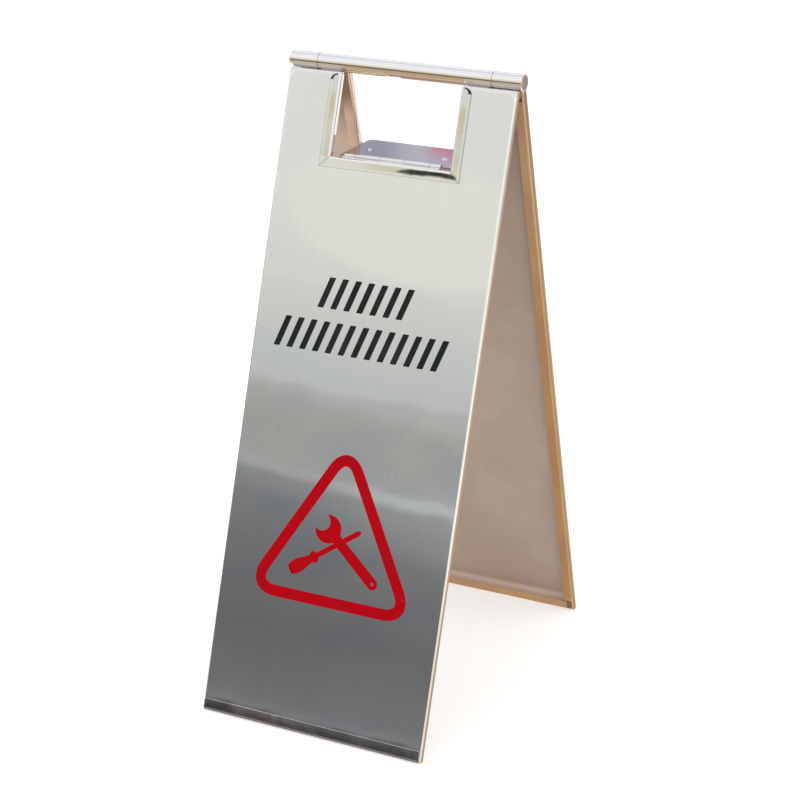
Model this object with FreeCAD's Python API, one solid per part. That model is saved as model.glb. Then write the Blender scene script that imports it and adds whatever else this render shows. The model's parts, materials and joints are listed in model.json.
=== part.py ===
import FreeCAD, Part
import math
import os

# A folding floor sign of stainless sheet.  Two equal leaves hang from one round tube,
# which is both the carrying grip and the hinge, and a hinged plate reaches through the
# hand openings to lock the spread.
#
# Frame: millimetres, +Z up, the floor at Z = 0, the tube along X, the front leaf at -Y.
# The origin lies on the floor, midway between the two leaves.
#
# A leaf is drawn hanging straight down from the hinge axis, in three of its own measures:
#   x  across the leaf
#   s  down the leaf, from the hinge axis
#   n  outwards, from the plane through the hinge axis towards the leaf's outer face

Vector = FreeCAD.Vector
X_AXIS = Vector(1, 0, 0)
Z_AXIS = Vector(0, 0, 1)
HINGE_AXIS = Vector(0, 0, 0)

# ---- Driving dimensions ----------------------------------------------------------------

# Leaves
leaf_length = 620.0         # from the hinge axis to the bottom edge, along the leaf
leaf_width = 230.5
half_angle = 17.0           # each leaf's lean from the vertical, in degrees
leaf_sheet = 1.0
bend_radius = 1.8           # outside of every fold
lip_width = 10.0            # return lip on the back of the tray
closed_gap = 0.8            # between the two leaves' lips when the sign is folded flat
lip_end_room = 7.6          # from the leaf's side to the end of its top or bottom lip
side_lip_gap = 1.6          # between a side lip's end and the top or bottom lip

# Hand opening, clear between its trims
opening_width = 122.0
opening_bottom = 86.0       # from the hinge axis to the clear lower edge, along the leaf

# Trims
trim_sheet = 0.8
trim_width = 10.5           # face band round the opening
trim_flange_end = 2.4       # how far from the hinge plane a trim's inner flange stops
trim_corner_radius = 7.0    # rounded top corner of a side trim
strip_height = 11.0         # band along the bottom edge
strip_end_width = 8.0       # short end piece of that band
strip_joint = 0.3           # open joint between the band and its end pieces

# Tube: one barrel between two end knuckles
tube_diameter = 16.0
tube_wall = 1.5
tube_clearance = 0.3        # between the tube and a leaf's top flange
tube_overhang = 2.5         # tube end past the leaf's side
end_knuckle_seat = 27.25    # from the leaf's side to the barrel's end
seam_gap = 0.5              # between the barrel and an end knuckle
spigot_press = 24.0         # length held in the barrel
spigot_clearance = 0.05     # radial, in the end knuckle
spigot_end_room = 1.5       # before the end plug's shank
plug_head = 1.5
plug_shank = 7.0
plug_chamfer = 0.6

# Welds between the tube and a leaf's top flange
weld_inner = 2.3            # n where the bead starts
weld_outer = 3.2            # n where it ends on the flange
weld_rise = 0.3             # how much further out it ends on the tube
weld_end_room = 3.0         # from each end of the seat it fills

# Strip hinge of the spreader plate
hinge_side_room = 12.0      # between the hinge's end and the clear opening's side
hinge_sheet = 1.0
knuckle_radius = 2.5
knuckle_pitch = 25.5
knuckle_gap = 0.3
knuckle_room = 0.4          # between a knuckle and the other leaf's edge
shortest_knuckle = 3.0
hinge_pin_radius = 1.0
hinge_pin_clearance = 0.05
hinge_axis_depth = 1.0      # n of the strip hinge's own axis
moving_leaf_reach = 34.0    # from that axis to the moving leaf's far edge

# Spreader plate
plate_sheet = 1.2
plate_side_room = 4.6       # between the plate's side and the clear opening's side
plate_edge_radius = 1.0
plate_corner_radius = 6.0
plate_rest_gap = 0.3        # between the plate's rim and the rear trim
hook_width = 50.0
hook_drop = 9.0             # from the plate's top to the hook's tip
hook_corner_radius = 3.0
hook_clearance = 1.5        # between the hook's tip and the rear leaf's trim
rivet_reach = 28.0          # from the strip hinge's axis
rivet_end_room = 10.0       # from the strip hinge's end
rivet_radius = 1.6
rivet_head_radius = 2.6
rivet_head_height = 0.9
rivet_crown_radius = 1.6    # flat top of a rivet head

# ---- Sizes that follow -----------------------------------------------------------------

tube_radius = tube_diameter / 2
tube_bore = tube_radius - tube_wall
leaf_face = tube_radius                     # the outer face is level with the tube's front
leaf_back = closed_gap / 2
leaf_top = tube_radius + tube_clearance
trim_face = leaf_face + trim_sheet
trim_bend = bend_radius + trim_sheet
cut_half_width = opening_width / 2 + trim_sheet
cut_bottom = opening_bottom + trim_sheet
lean = math.radians(half_angle)

# The bottom fold's rounded inner corner stands on the floor.
foot_corner_s = leaf_length - bend_radius
foot_corner_n = leaf_back + bend_radius
axis_height = foot_corner_s * math.cos(lean) - foot_corner_n * math.sin(lean) + bend_radius

barrel_end = leaf_width / 2 - end_knuckle_seat
knuckle_start = barrel_end + seam_gap
tube_end = leaf_width / 2 + tube_overhang - plug_head

hinge_half_width = opening_width / 2 - hinge_side_room
hinge_axis_s = opening_bottom - knuckle_radius
plate_half_width = opening_width / 2 - plate_side_room


def leaf_point(side, s, n):
    """Y and Z of a point of a leaf: side is -1 for the front leaf and 1 for the rear one."""
    y = side * (s * math.sin(lean) + n * math.cos(lean))
    z = axis_height - s * math.cos(lean) + n * math.sin(lean)
    return y, z


plate_axis_y, plate_axis_z = leaf_point(-1, hinge_axis_s, hinge_axis_depth)

# The plate's rim comes to rest on the rounded edge of the rear opening's bottom trim.
rest_y, rest_z = leaf_point(1, opening_bottom + trim_bend, trim_face - trim_bend)
rest_distance = math.hypot(rest_y - plate_axis_y, rest_z - plate_axis_z)
rest_bearing = math.atan2(rest_z - plate_axis_z, rest_y - plate_axis_y)
plate_tilt = rest_bearing + math.asin((knuckle_radius + trim_bend + plate_rest_gap) / rest_distance)

# Plate measures: u away from the strip hinge's axis, v upwards from it, square to u.
rim_bottom = -knuckle_radius
plate_top = rim_bottom + hinge_sheet + plate_sheet
plate_near = knuckle_radius + knuckle_room
hook_tip = plate_top - hook_drop
axis_to_rear_face = (trim_face + hook_clearance - plate_axis_y * math.cos(lean)
                     - (plate_axis_z - axis_height) * math.sin(lean))
hook_inner = (axis_to_rear_face - hook_tip * math.sin(lean - plate_tilt)) / math.cos(lean - plate_tilt)
plate_far = hook_inner + plate_sheet


# ---- Helpers ---------------------------------------------------------------------------

def leaf_box(x_range, s_range, n_range):
    """Box in a leaf's own measures."""
    (x0, x1), (s0, s1), (n0, n1) = x_range, s_range, n_range
    return Part.makeBox(x1 - x0, n1 - n0, s1 - s0, Vector(x0, -n1, -s1))


def leaf_prism(corners, n_range):
    """Prism over an outline of (x, s) corners, between two values of n."""
    points = [Vector(x, -n_range[0], -s) for x, s in corners]
    face = Part.Face(Part.makePolygon(points + points[:1]))
    return face.extrude(Vector(0, n_range[0] - n_range[1], 0))


def fillet_level(solid, n_values, radius):
    """Rounds every edge that lies wholly at one of the given values of n."""
    def level(edge, n):
        return all(abs(vertex.Y + n) < 1e-6 for vertex in edge.Vertexes)
    edges = [edge for edge in solid.Edges if any(level(edge, n) for n in n_values)]
    return solid.makeFillet(radius, edges)


def cylinder_x(radius, x0, x1, centre=HINGE_AXIS):
    """Round bar along X."""
    return Part.makeCylinder(radius, x1 - x0, centre + Vector(x0, 0, 0), X_AXIS)


def on_front_leaf(shape):
    """Leans a shape drawn in leaf measures into the front leaf's place."""
    placed = shape.copy()
    placed.rotate(HINGE_AXIS, X_AXIS, -half_angle)
    placed.translate(Vector(0, 0, axis_height))
    return placed


def on_rear_leaf(shape):
    """The same for the rear leaf, which is the front one turned half round."""
    placed = on_front_leaf(shape)
    placed.rotate(HINGE_AXIS, Z_AXIS, 180)
    return placed


def on_plate(shape):
    """Turns a shape drawn in plate measures (x, u, v) into the plate's resting place."""
    placed = shape.copy()
    placed.rotate(HINGE_AXIS, X_AXIS, math.degrees(plate_tilt))
    placed.translate(Vector(0, plate_axis_y, plate_axis_z))
    return placed


def at_tube(shape):
    """Lifts a shape drawn about the hinge axis to the tube's height."""
    placed = shape.copy()
    placed.translate(Vector(0, 0, axis_height))
    return placed


# ---- Leaves ----------------------------------------------------------------------------

def leaf_outline(inset):
    """The leaf's outline with its hand opening, moved into the sheet by inset."""
    side = leaf_width / 2 - inset
    mouth = cut_half_width + inset
    top = leaf_top + inset
    shelf = cut_bottom + inset
    bottom = leaf_length - inset
    return [(-side, bottom), (side, bottom), (side, top), (mouth, top),
            (mouth, shelf), (-mouth, shelf), (-mouth, top), (-side, top)]


def leaf_block():
    """The folded leaf as if it were solid: what the trims are seated on."""
    block = leaf_prism(leaf_outline(0), (leaf_back, leaf_face))
    return fillet_level(block, (leaf_back, leaf_face), bend_radius)


def lip_corner(x_sign, s, s_sign):
    """What the lips leave open near an outer corner, for the two folds to pass each other."""
    lip_layer = (leaf_back - leaf_sheet, leaf_back + leaf_sheet)
    side = leaf_width / 2
    beside_fold = side - bend_radius
    edge = s - s_sign * bend_radius
    lip_edge = s - s_sign * lip_width
    side_lip_end = lip_edge - s_sign * side_lip_gap
    past_lip = sorted(x_sign * x for x in (side - lip_end_room, beside_fold))
    above_lip = sorted(x_sign * x for x in (side - lip_width - side_lip_gap, beside_fold))
    notch = leaf_box(past_lip, sorted((side_lip_end, edge)), lip_layer)
    return notch.fuse(leaf_box(above_lip, sorted((side_lip_end, lip_edge)), lip_layer))


def leaf_panel():
    """One folded tray: brushed face, flanges all round, return lips on the back."""
    cavity_range = (leaf_back + leaf_sheet, leaf_face - leaf_sheet)
    cavity = leaf_prism(leaf_outline(leaf_sheet), cavity_range)
    cavity = fillet_level(cavity, cavity_range, bend_radius - leaf_sheet)
    back_layer = (leaf_back - leaf_sheet, leaf_back + leaf_sheet)
    panel = leaf_block().cut(cavity).cut(leaf_prism(leaf_outline(lip_width), back_layer))
    for x_sign in (-1, 1):
        # The opening's lips end square, so its lower corners stay open between them.
        lip_reach = lip_width + side_lip_gap
        mouth_corner = sorted(x_sign * (cut_half_width + reach) for reach in (0, lip_reach))
        below_mouth = (cut_bottom, cut_bottom + lip_reach)
        panel = panel.cut(leaf_box(mouth_corner, below_mouth, back_layer))
        for s, s_sign in ((leaf_top, -1), (leaf_length, 1)):
            panel = panel.cut(lip_corner(x_sign, s, s_sign))
    return panel


# ---- Trims -----------------------------------------------------------------------------

def opening_collar():
    """The three opening trims in one: a face band that wraps the opening's folded edge."""
    mouth = opening_width / 2
    outer = mouth + trim_width
    top = leaf_top + bend_radius
    n_range = (trim_flange_end, trim_face)
    band = [(-outer, top), (outer, top), (outer, opening_bottom + trim_width),
            (-outer, opening_bottom + trim_width)]
    collar = leaf_prism(band, n_range)
    clear = [(-mouth, top - trim_width), (mouth, top - trim_width), (mouth, opening_bottom),
             (-mouth, opening_bottom)]
    collar = collar.cut(leaf_prism(clear, (trim_flange_end - trim_sheet, trim_face + trim_sheet)))

    def on_rolled_edge(edge):
        return all(abs(vertex.Y + trim_face) < 1e-6 and abs(vertex.X) < mouth + 1e-6
                   and -vertex.Z < opening_bottom + 1e-6 for vertex in edge.Vertexes)
    rolled = [edge for edge in collar.Edges if on_rolled_edge(edge)]
    collar = collar.makeFillet(trim_bend, rolled)
    for x_sign in (-1, 1):
        collar = collar.cut(top_corner(x_sign * outer, top, x_sign))
    return collar.cut(leaf_block())


def top_corner(x, s, x_sign):
    """What is taken off a side trim's top outer corner to round it."""
    n_range = (trim_flange_end, trim_face + trim_sheet)
    x_range = sorted((x, x - x_sign * trim_corner_radius))
    square = leaf_box(x_range, (s - trim_corner_radius, s + trim_corner_radius), n_range)
    disc = Part.makeCylinder(trim_corner_radius, n_range[1] - n_range[0],
                             Vector(x - x_sign * trim_corner_radius, -n_range[1], -s - trim_corner_radius),
                             Vector(0, 1, 0))
    return square.cut(disc)


def opening_trims():
    """Side and bottom trims, cut apart along the mitres of the opening's lower corners."""
    collar = opening_collar()
    mouth = opening_width / 2
    reach = trim_width + trim_sheet
    n_range = (0, trim_face + trim_sheet)
    below = [(-mouth, opening_bottom), (mouth, opening_bottom),
             (mouth + reach, opening_bottom + reach), (-mouth - reach, opening_bottom + reach)]
    bottom_zone = leaf_prism(below, n_range)
    sides = collar.cut(bottom_zone)
    left, right = sorted(sides.Solids, key=lambda solid: solid.CenterOfMass.x)
    return left, right, collar.common(bottom_zone).Solids[0]


def bottom_strip():
    """Band along the bottom edge that wraps the fold, with an end piece at each side."""
    half = leaf_width / 2 - bend_radius
    joint = leaf_width / 2 - strip_end_width
    low = leaf_length + trim_sheet
    s_range = (low - strip_height, low)
    fold_end = leaf_face - bend_radius
    band = leaf_box((-half, half), s_range, (leaf_back, trim_face))
    fold = [edge for edge in band.Edges
            if all(abs(v.Y + trim_face) < 1e-6 and abs(v.Z + low) < 1e-6 for v in edge.Vertexes)]
    band = band.makeFillet(trim_bend, fold).cut(leaf_block())
    pieces = []
    for x0, x1 in ((-half, -joint - strip_joint / 2), (joint + strip_joint / 2, half),
                   (-joint + strip_joint / 2, joint - strip_joint / 2)):
        pieces.append(band.common(leaf_box((x0, x1), s_range, (fold_end, trim_face))).Solids[0])
    return pieces


# ---- Tube ------------------------------------------------------------------------------

def tube(x0, x1):
    """Length of the round tube."""
    bore = cylinder_x(tube_bore, x0 - seam_gap, x1 + seam_gap)
    return cylinder_x(tube_radius, x0, x1).cut(bore)


def spigot(x_sign):
    """Turned pin: pressed into the barrel, running in the end knuckle."""
    pressed = cylinder_x(tube_bore, barrel_end - spigot_press, barrel_end)
    running_end = tube_end - plug_shank - spigot_end_room
    running = cylinder_x(tube_bore - spigot_clearance, barrel_end, running_end)
    pin = pressed.fuse(running).removeSplitter()
    return pin if x_sign > 0 else pin.mirror(HINGE_AXIS, X_AXIS)


def end_plug(x_sign):
    """Flat cap with a chamfered rim and a shank that is pressed into the end knuckle."""
    rim_radius = tube_radius - plug_chamfer
    rim_start = tube_end + plug_head - plug_chamfer
    head = cylinder_x(tube_radius, tube_end, rim_start)
    rim = Part.makeCone(tube_radius, rim_radius, plug_chamfer, Vector(rim_start, 0, 0), X_AXIS)
    shank = cylinder_x(tube_bore, tube_end - plug_shank, tube_end)
    plug = head.fuse(rim).fuse(shank).removeSplitter()
    return plug if x_sign > 0 else plug.mirror(HINGE_AXIS, X_AXIS)


def seat_weld(x0, x1):
    """Bead that fills the wedge between the tube and a leaf's top flange."""
    def on_tube(n):
        return Vector(0, -n, -math.sqrt(tube_radius ** 2 - n ** 2))
    tube_outer = weld_outer + weld_rise
    arc = Part.Arc(on_tube(tube_outer), on_tube((tube_outer + weld_inner) / 2), on_tube(weld_inner))
    flange_inner = Vector(0, -weld_inner, -leaf_top)
    flange_outer = Vector(0, -weld_outer, -leaf_top)
    outline = Part.Wire([Part.makeLine(flange_inner, flange_outer),
                         Part.makeLine(flange_outer, on_tube(tube_outer)),
                         arc.toShape(),
                         Part.makeLine(on_tube(weld_inner), flange_inner)])
    bead = Part.Face(outline).extrude(Vector(x1 - x0, 0, 0))
    bead.translate(Vector(x0, 0, 0))
    return bead


# ---- Strip hinge and spreader plate ----------------------------------------------------

def knuckle_spans():
    """Knuckles of the strip hinge, as (x0, x1, belongs to the fixed leaf)."""
    seams = []
    seam = knuckle_pitch / 2
    while seam < hinge_half_width - shortest_knuckle:
        seams.append(seam)
        seam += knuckle_pitch
    ends = [-hinge_half_width] + [-x for x in reversed(seams)] + seams + [hinge_half_width]
    middle = (len(ends) - 2) // 2
    spans = []
    for index, (x0, x1) in enumerate(zip(ends, ends[1:])):
        low = x0 if x0 == ends[0] else x0 + knuckle_gap / 2
        high = x1 if x1 == ends[-1] else x1 - knuckle_gap / 2
        spans.append((low, high, (index - middle) % 2 == 0))
    return spans


def hinge_centre_on_leaf():
    """The strip hinge's axis, drawn in leaf measures."""
    return Vector(0, -hinge_axis_depth, -hinge_axis_s)


def hinge_fixed_leaf():
    """Narrow leaf on the shelf of the front opening, with its rolled knuckles."""
    centre = hinge_centre_on_leaf()
    flat_end = trim_face - trim_bend
    strap_s = (opening_bottom - hinge_sheet, opening_bottom)
    leaf = leaf_box((-hinge_half_width, hinge_half_width), strap_s, (hinge_axis_depth, flat_end))
    for x0, x1, fixed in knuckle_spans():
        if fixed:
            leaf = leaf.fuse(cylinder_x(knuckle_radius, x0, x1, centre))
        else:
            leaf = leaf.cut(cylinder_x(plate_near, x0 - knuckle_gap, x1 + knuckle_gap, centre))
    bore = cylinder_x(hinge_pin_radius, -leaf_width, leaf_width, centre)
    return leaf.cut(bore).removeSplitter()


def hinge_pin():
    """Pin through every knuckle."""
    return cylinder_x(hinge_pin_radius, -hinge_half_width, hinge_half_width, hinge_centre_on_leaf())


def plate_box(x_range, u_range, v_range):
    """Box in plate measures."""
    (x0, x1), (u0, u1), (v0, v1) = x_range, u_range, v_range
    return Part.makeBox(x1 - x0, u1 - u0, v1 - v0, Vector(x0, u0, v0))


def hinge_moving_leaf():
    """Wide leaf under the spreader plate, with tongues rolled into its knuckles."""
    strap = (rim_bottom, rim_bottom + hinge_sheet)
    strap_span = (-hinge_half_width, hinge_half_width)
    leaf = plate_box(strap_span, (plate_near, moving_leaf_reach), strap)
    for x0, x1, fixed in knuckle_spans():
        if not fixed:
            leaf = leaf.fuse(plate_box((x0, x1), (0, plate_near + hinge_sheet), strap))
            leaf = leaf.fuse(cylinder_x(knuckle_radius, x0, x1))
    bore = cylinder_x(hinge_pin_radius + hinge_pin_clearance, -leaf_width, leaf_width)
    return leaf.cut(bore).cut(rivet_shanks()).removeSplitter()


def plate_tray(half_width, u_range, v_range, corner_radius):
    """Block with rounded far corners, for the plate's outside and its inside."""
    block = plate_box((-half_width, half_width), u_range, v_range)
    corners = [edge for edge in block.Edges
               if all(abs(v.Y - u_range[1]) < 1e-6 for v in edge.Vertexes)
               and abs(edge.Vertexes[0].X - edge.Vertexes[-1].X) < 1e-6]
    return block.makeFillet(corner_radius, corners)


def spreader_plate():
    """Shallow inverted tray whose far rim runs down into a hook behind the rear leaf."""
    outside = plate_tray(plate_half_width, (plate_near, plate_far), (rim_bottom, plate_top),
                         plate_corner_radius)
    hook_half = hook_width / 2
    hook = plate_box((-hook_half, hook_half), (hook_inner, plate_far), (hook_tip, plate_top))
    tips = [edge for edge in hook.Edges
            if all(abs(v.Z - hook_tip) < 1e-6 for v in edge.Vertexes)
            and abs(edge.Vertexes[0].X - edge.Vertexes[-1].X) < 1e-6]
    outside = outside.fuse(hook.makeFillet(hook_corner_radius, tips)).removeSplitter()

    def on_top_rim(edge):
        return (all(abs(v.Z - plate_top) < 1e-6 for v in edge.Vertexes)
                and edge.CenterOfMass.y > plate_near + plate_edge_radius)
    outside = outside.makeFillet(plate_edge_radius, [edge for edge in outside.Edges if on_top_rim(edge)])
    inside = plate_tray(plate_half_width - plate_sheet, (plate_near - plate_sheet, hook_inner),
                        (hook_tip - plate_sheet, plate_top - plate_sheet), plate_corner_radius - plate_sheet)
    return outside.cut(inside).cut(rivet_shanks())


def rivet_places():
    """Centres of the rivets, in plate measures (x, u)."""
    x = hinge_half_width - rivet_end_room
    return [(-x, rivet_reach), (x, rivet_reach)]


def rivet_shanks():
    """Shanks through the plate and the moving leaf, which are also their holes."""
    length = hinge_sheet + plate_sheet
    shanks = [Part.makeCylinder(rivet_radius, length, Vector(x, u, rim_bottom)) for x, u in rivet_places()]
    return Part.makeCompound(shanks)


def rivet_head(x, u, v, up):
    """Low pressed head that narrows to a flat top."""
    return Part.makeCone(rivet_head_radius, rivet_crown_radius, rivet_head_height,
                         Vector(x, u, v), Vector(0, 0, up))


def plate_rivets():
    """Rivets that hold the plate on the moving leaf."""
    rivets = []
    for (x, u), shank in zip(rivet_places(), rivet_shanks().Solids):
        top_head = rivet_head(x, u, plate_top, 1)
        rivets.append(shank.fuse(top_head).fuse(rivet_head(x, u, rim_bottom, -1)).removeSplitter())
    return Part.makeCompound(rivets)


# ---- Assembly --------------------------------------------------------------------------

def leaf_parts(name, place, on_left, on_right):
    """Panel, trims and bottom strip of one leaf; the sides are named as the front sees them."""
    trims = dict(zip((on_left, on_right, "bottom"), opening_trims()))
    strip = dict(zip((on_left, on_right, "middle"), bottom_strip()))
    return {
        name + "_panel": place(leaf_panel()),
        name + "_opening_trim_left": place(trims["left"]),
        name + "_opening_trim_right": place(trims["right"]),
        name + "_opening_trim_bottom": place(trims["bottom"]),
        name + "_bottom_strip": place(strip["middle"]),
        name + "_bottom_strip_end_left": place(strip["left"]),
        name + "_bottom_strip_end_right": place(strip["right"]),
    }


def build():
    """Every sub-part by its node's name."""
    parts = leaf_parts("front", on_front_leaf, "left", "right")
    parts.update(leaf_parts("rear", on_rear_leaf, "right", "left"))
    parts["grip_barrel"] = at_tube(tube(-barrel_end, barrel_end))

    seat_inner = cut_half_width + weld_end_room
    seat_outer = leaf_width / 2 - weld_end_room
    for side, x_sign in (("left", -1), ("right", 1)):
        knuckle = tube(*sorted((x_sign * knuckle_start, x_sign * tube_end)))
        barrel_seat = sorted((x_sign * seat_inner, x_sign * (barrel_end - weld_end_room)))
        knuckle_seat = sorted((x_sign * (knuckle_start + weld_end_room), x_sign * seat_outer))
        # The rear leaf is turned half round, so its seats are drawn on the other side.
        turned_seat = sorted(-x for x in knuckle_seat)
        parts["end_knuckle_" + side] = at_tube(knuckle)
        parts["hinge_spigot_" + side] = at_tube(spigot(x_sign))
        parts["end_plug_" + side] = at_tube(end_plug(x_sign))
        parts["barrel_weld_" + side] = on_front_leaf(seat_weld(*barrel_seat))
        parts["knuckle_weld_" + side] = on_rear_leaf(seat_weld(*turned_seat))

    parts["spreader_hinge_fixed_leaf"] = on_front_leaf(hinge_fixed_leaf())
    parts["spreader_hinge_pin"] = on_front_leaf(hinge_pin())
    parts["spreader_hinge_moving_leaf"] = on_plate(hinge_moving_leaf())
    parts["spreader_plate"] = on_plate(spreader_plate())
    parts["spreader_rivets"] = on_plate(plate_rivets())
    return parts


os.makedirs("parts", exist_ok=True)
for node, shape in build().items():
    shape.exportStep("parts/" + node + ".step")
print("axis height", round(axis_height, 3), "plate tilt", round(math.degrees(plate_tilt), 3))
print("strip hinge axis", round(plate_axis_y, 3), round(plate_axis_z, 3), "reach", round(plate_far, 3))
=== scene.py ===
"""Looks of a folding two-leaf floor sign in brushed and polished stainless steel.

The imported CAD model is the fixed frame. This script gives every part of it a finish, lays the cut
vinyl figure and stripes on the front leaf, and sets up the camera, the stage and the lamps.
Lengths are in metres. On a leaf, x runs across, s runs down from the hinge axis and n points outwards.
"""

import json
import math

import bmesh
import bpy
from mathutils import Matrix, Quaternion, Vector


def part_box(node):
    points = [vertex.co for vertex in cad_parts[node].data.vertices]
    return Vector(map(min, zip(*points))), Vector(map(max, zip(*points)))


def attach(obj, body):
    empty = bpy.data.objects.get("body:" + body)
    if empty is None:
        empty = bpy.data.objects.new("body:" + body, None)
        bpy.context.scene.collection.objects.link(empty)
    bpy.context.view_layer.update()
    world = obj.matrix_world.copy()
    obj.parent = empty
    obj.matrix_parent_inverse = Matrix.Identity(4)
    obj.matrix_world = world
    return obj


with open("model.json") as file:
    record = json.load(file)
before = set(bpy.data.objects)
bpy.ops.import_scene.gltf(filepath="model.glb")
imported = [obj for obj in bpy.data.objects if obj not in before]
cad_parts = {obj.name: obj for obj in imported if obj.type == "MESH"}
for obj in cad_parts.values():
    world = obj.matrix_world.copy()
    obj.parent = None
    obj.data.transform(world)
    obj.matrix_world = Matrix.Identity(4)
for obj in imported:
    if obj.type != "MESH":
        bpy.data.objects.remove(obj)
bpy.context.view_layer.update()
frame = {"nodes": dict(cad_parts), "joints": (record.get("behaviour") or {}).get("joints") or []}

MM = 0.001
LEAF_LEAN = math.radians(17)
AXIS_HEIGHT = frame["joints"][0]["pos_m"][2]
LEAF_HALF_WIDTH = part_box("front_panel")[1].x
LEAF_LENGTH = 620 * MM
LEAF_END = -LEAF_LENGTH
LEAF_TOP = 8.3 * MM
FACE_OUT = 8 * MM
SHEET = 1.0 * MM
BEND_RADIUS = 1.8 * MM
BEND_START = FACE_OUT - BEND_RADIUS
OPENING_HALF_WIDTH = 61 * MM
OPENING_BOTTOM = 86 * MM
TRIM_WIDTH = 10.5 * MM
TRIM_CORNER = 7 * MM
STRIP_JOINT = LEAF_HALF_WIDTH - 8 * MM
TUBE_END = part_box("end_plug_right")[1].x

# camera, lamps, floor and screens
CAMERA_AIM = Vector((-0.0024, 0.0, 0.2725))
CAMERA_AZIMUTH = math.radians(26.26)
CAMERA_ELEVATION = math.radians(19.78)
CAMERA_ROLL = math.radians(0.678)
CAMERA_DISTANCE = 2.077
LAMP_AIM = Vector((0.0, 0.0, 0.3))
FLOOR_GREY = (0.86, 0.86, 0.85, 1.0)
SCREEN_RADIUS = 3.0
SCREEN_HEIGHT = 1.8
SCREEN_MIDDLE = -1.26
SCREEN_FAN = 0.125
BLOTCH_TINTS = ((0.925, 0.955, 0.985), (1.045, 1.020, 0.995))
SCREEN_CREAM = (1.0, 0.985, 0.915)
SCREEN_BROWN = (0.935, 0.93, 0.92)
SCREEN_BLUE = (0.925, 0.93, 0.945)
SCREEN_GREY = (0.90, 0.90, 0.90)
SCREEN_BAND = (0.66, 0.68, 0.69)
GAP_DARK = (0.038, 0.042, 0.050)
GAP_FLECK = (0.45, 0.46, 0.50)
BACK_BLUE = (0.35, 0.365, 0.47)
BACK_GREY = (0.67, 0.655, 0.68)
BACK_VIOLET = (0.53, 0.51, 0.70)
BACK_STREAK = (0.66, 0.66, 0.64)
BACK_RED = (0.72, 0.23, 0.33)

# relief depths, shares and linear colours of each finish
LINE_DEPTH = 0.0016
NICK_SHARE = 0.55
BUCKLE_DEPTH = 0.045
FACE_TONES = ((0.722, 0.726, 0.712), (0.742, 0.746, 0.732))
# The polished border's tones are a painted highlight on its bend, plainer along the top, with a painted
# reflection of a warm floor lower down.
BORDER_HIGHLIGHT = (0.92, 0.92, 0.89)
BORDER_TOP = (0.79, 0.79, 0.80)
BORDER_FLOOR_REFLECTION = (0.74, 0.66, 0.60)
NICK_DARK = (0.655, 0.66, 0.655)
NICK_PALE = (0.795, 0.80, 0.795)
# The inside's warm tones are a painted reflection of a warm floor.
INSIDE_TONES = ((0.525, 0.420, 0.348), (0.565, 0.458, 0.388))
# Painted light in the folds and pockets of the inside.
POCKET_PAINTED_LIGHT = (0.98, 0.86, 0.77)
# Painted shade in the open corners of the lips.
CORNER_PAINTED_SHADE = (0.66, 0.46, 0.30)
# Painted light on the inside near the opening.
OPENING_PAINTED_LIGHT = (0.86, 0.71, 0.60)
# Painted shade in the upper half of the opening's lips, painted light in the lower half.
OPENING_LIP_SHADE_AND_LIGHT = ((0.42, 0.29, 0.20), (0.95, 0.74, 0.60))
# Painted reflections of a warm floor on the flanges and lips.
FLANGE_TONES = {-1: (0.42, 0.325, 0.22), 1: (0.32, 0.20, 0.078)}
FLANGE_WARM_REFLECTION = (0.86, 0.79, 0.76)
LIP_GOLD_REFLECTION = (0.88, 0.77, 0.64)
LIP_TONES = ((0.60, 0.41, 0.235), (0.57, 0.37, 0.225))
# Painted reflections on the buffed trim: olive, pale, golden and rosy.
TRIM_OLIVE = (0.60, 0.585, 0.475)
TRIM_PALE = (0.70, 0.695, 0.65)
TRIM_GOLD = (0.60, 0.54, 0.38)
TRIM_ROSE = (0.70, 0.50, 0.40)
# A painted highlight along the trim's rolled edge.
TRIM_ROLLED_HIGHLIGHT = (0.86, 0.85, 0.84)
# Painted shade at the trim's rounded top corners.
TRIM_SHADED = (0.05, 0.055, 0.06)
SEAM_DARK = (0.30, 0.29, 0.26)
STRIP_STEEL = (0.64, 0.63, 0.65)
# Painted brownish and reddish reflections on the bottom strip.
STRIP_BROWN_REFLECTION = (0.99, 0.86, 0.79)
STRIP_RED_REFLECTION = (0.99, 0.76, 0.74)
# A painted reflection of a dark floor on the strip's turned edge.
STRIP_EDGE_REFLECTION = (0.18, 0.15, 0.145)
STRIP_SMEAR = (0.66, 0.64, 0.64)
TUBE_STEEL = (0.88, 0.88, 0.895)
# Painted reflections on the tube: lavender lines, a dark line and tan tones below.
TUBE_LINE = (0.62, 0.62, 0.71)
TUBE_DARK = (0.78, 0.69, 0.56)
TUBE_TAN = (0.39, 0.325, 0.25)
TUBE_ORANGE = (0.37, 0.265, 0.168)
TUBE_UNDER_GREY = (0.88, 0.86, 0.86)
TUBE_UNDER_TAN = (0.54, 0.41, 0.31)
# A painted glint under the tube.
TUBE_GLINT = (0.97, 0.95, 0.92)
DISC_TAN = (0.36, 0.25, 0.20)
DISC_PALE = (0.56, 0.44, 0.38)
PLATE_TONES = ((0.67, 0.67, 0.69), (0.61, 0.61, 0.63))
HINGE_TONES = ((0.72, 0.72, 0.75), (0.84, 0.84, 0.87))
PIN_TONES = ((0.40, 0.38, 0.37), (0.52, 0.50, 0.48))
# Weld tones: straw and blue heat colours, darkened as painted shade of the gap under the tube; the crest
# tone is a painted highlight.
WELD_TONES = ((0.42, 0.39, 0.35), (0.30, 0.31, 0.36))
WELD_CREST_HIGHLIGHT = (0.50, 0.49, 0.49)
VINYL_RED = ((0.50, 0.0, 0.006), (0.46, 0.001, 0.008))
VINYL_INK = ((0.017, 0.021, 0.019), (0.024, 0.028, 0.027))


# ---------------------------------------------------------------- node helpers


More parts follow.
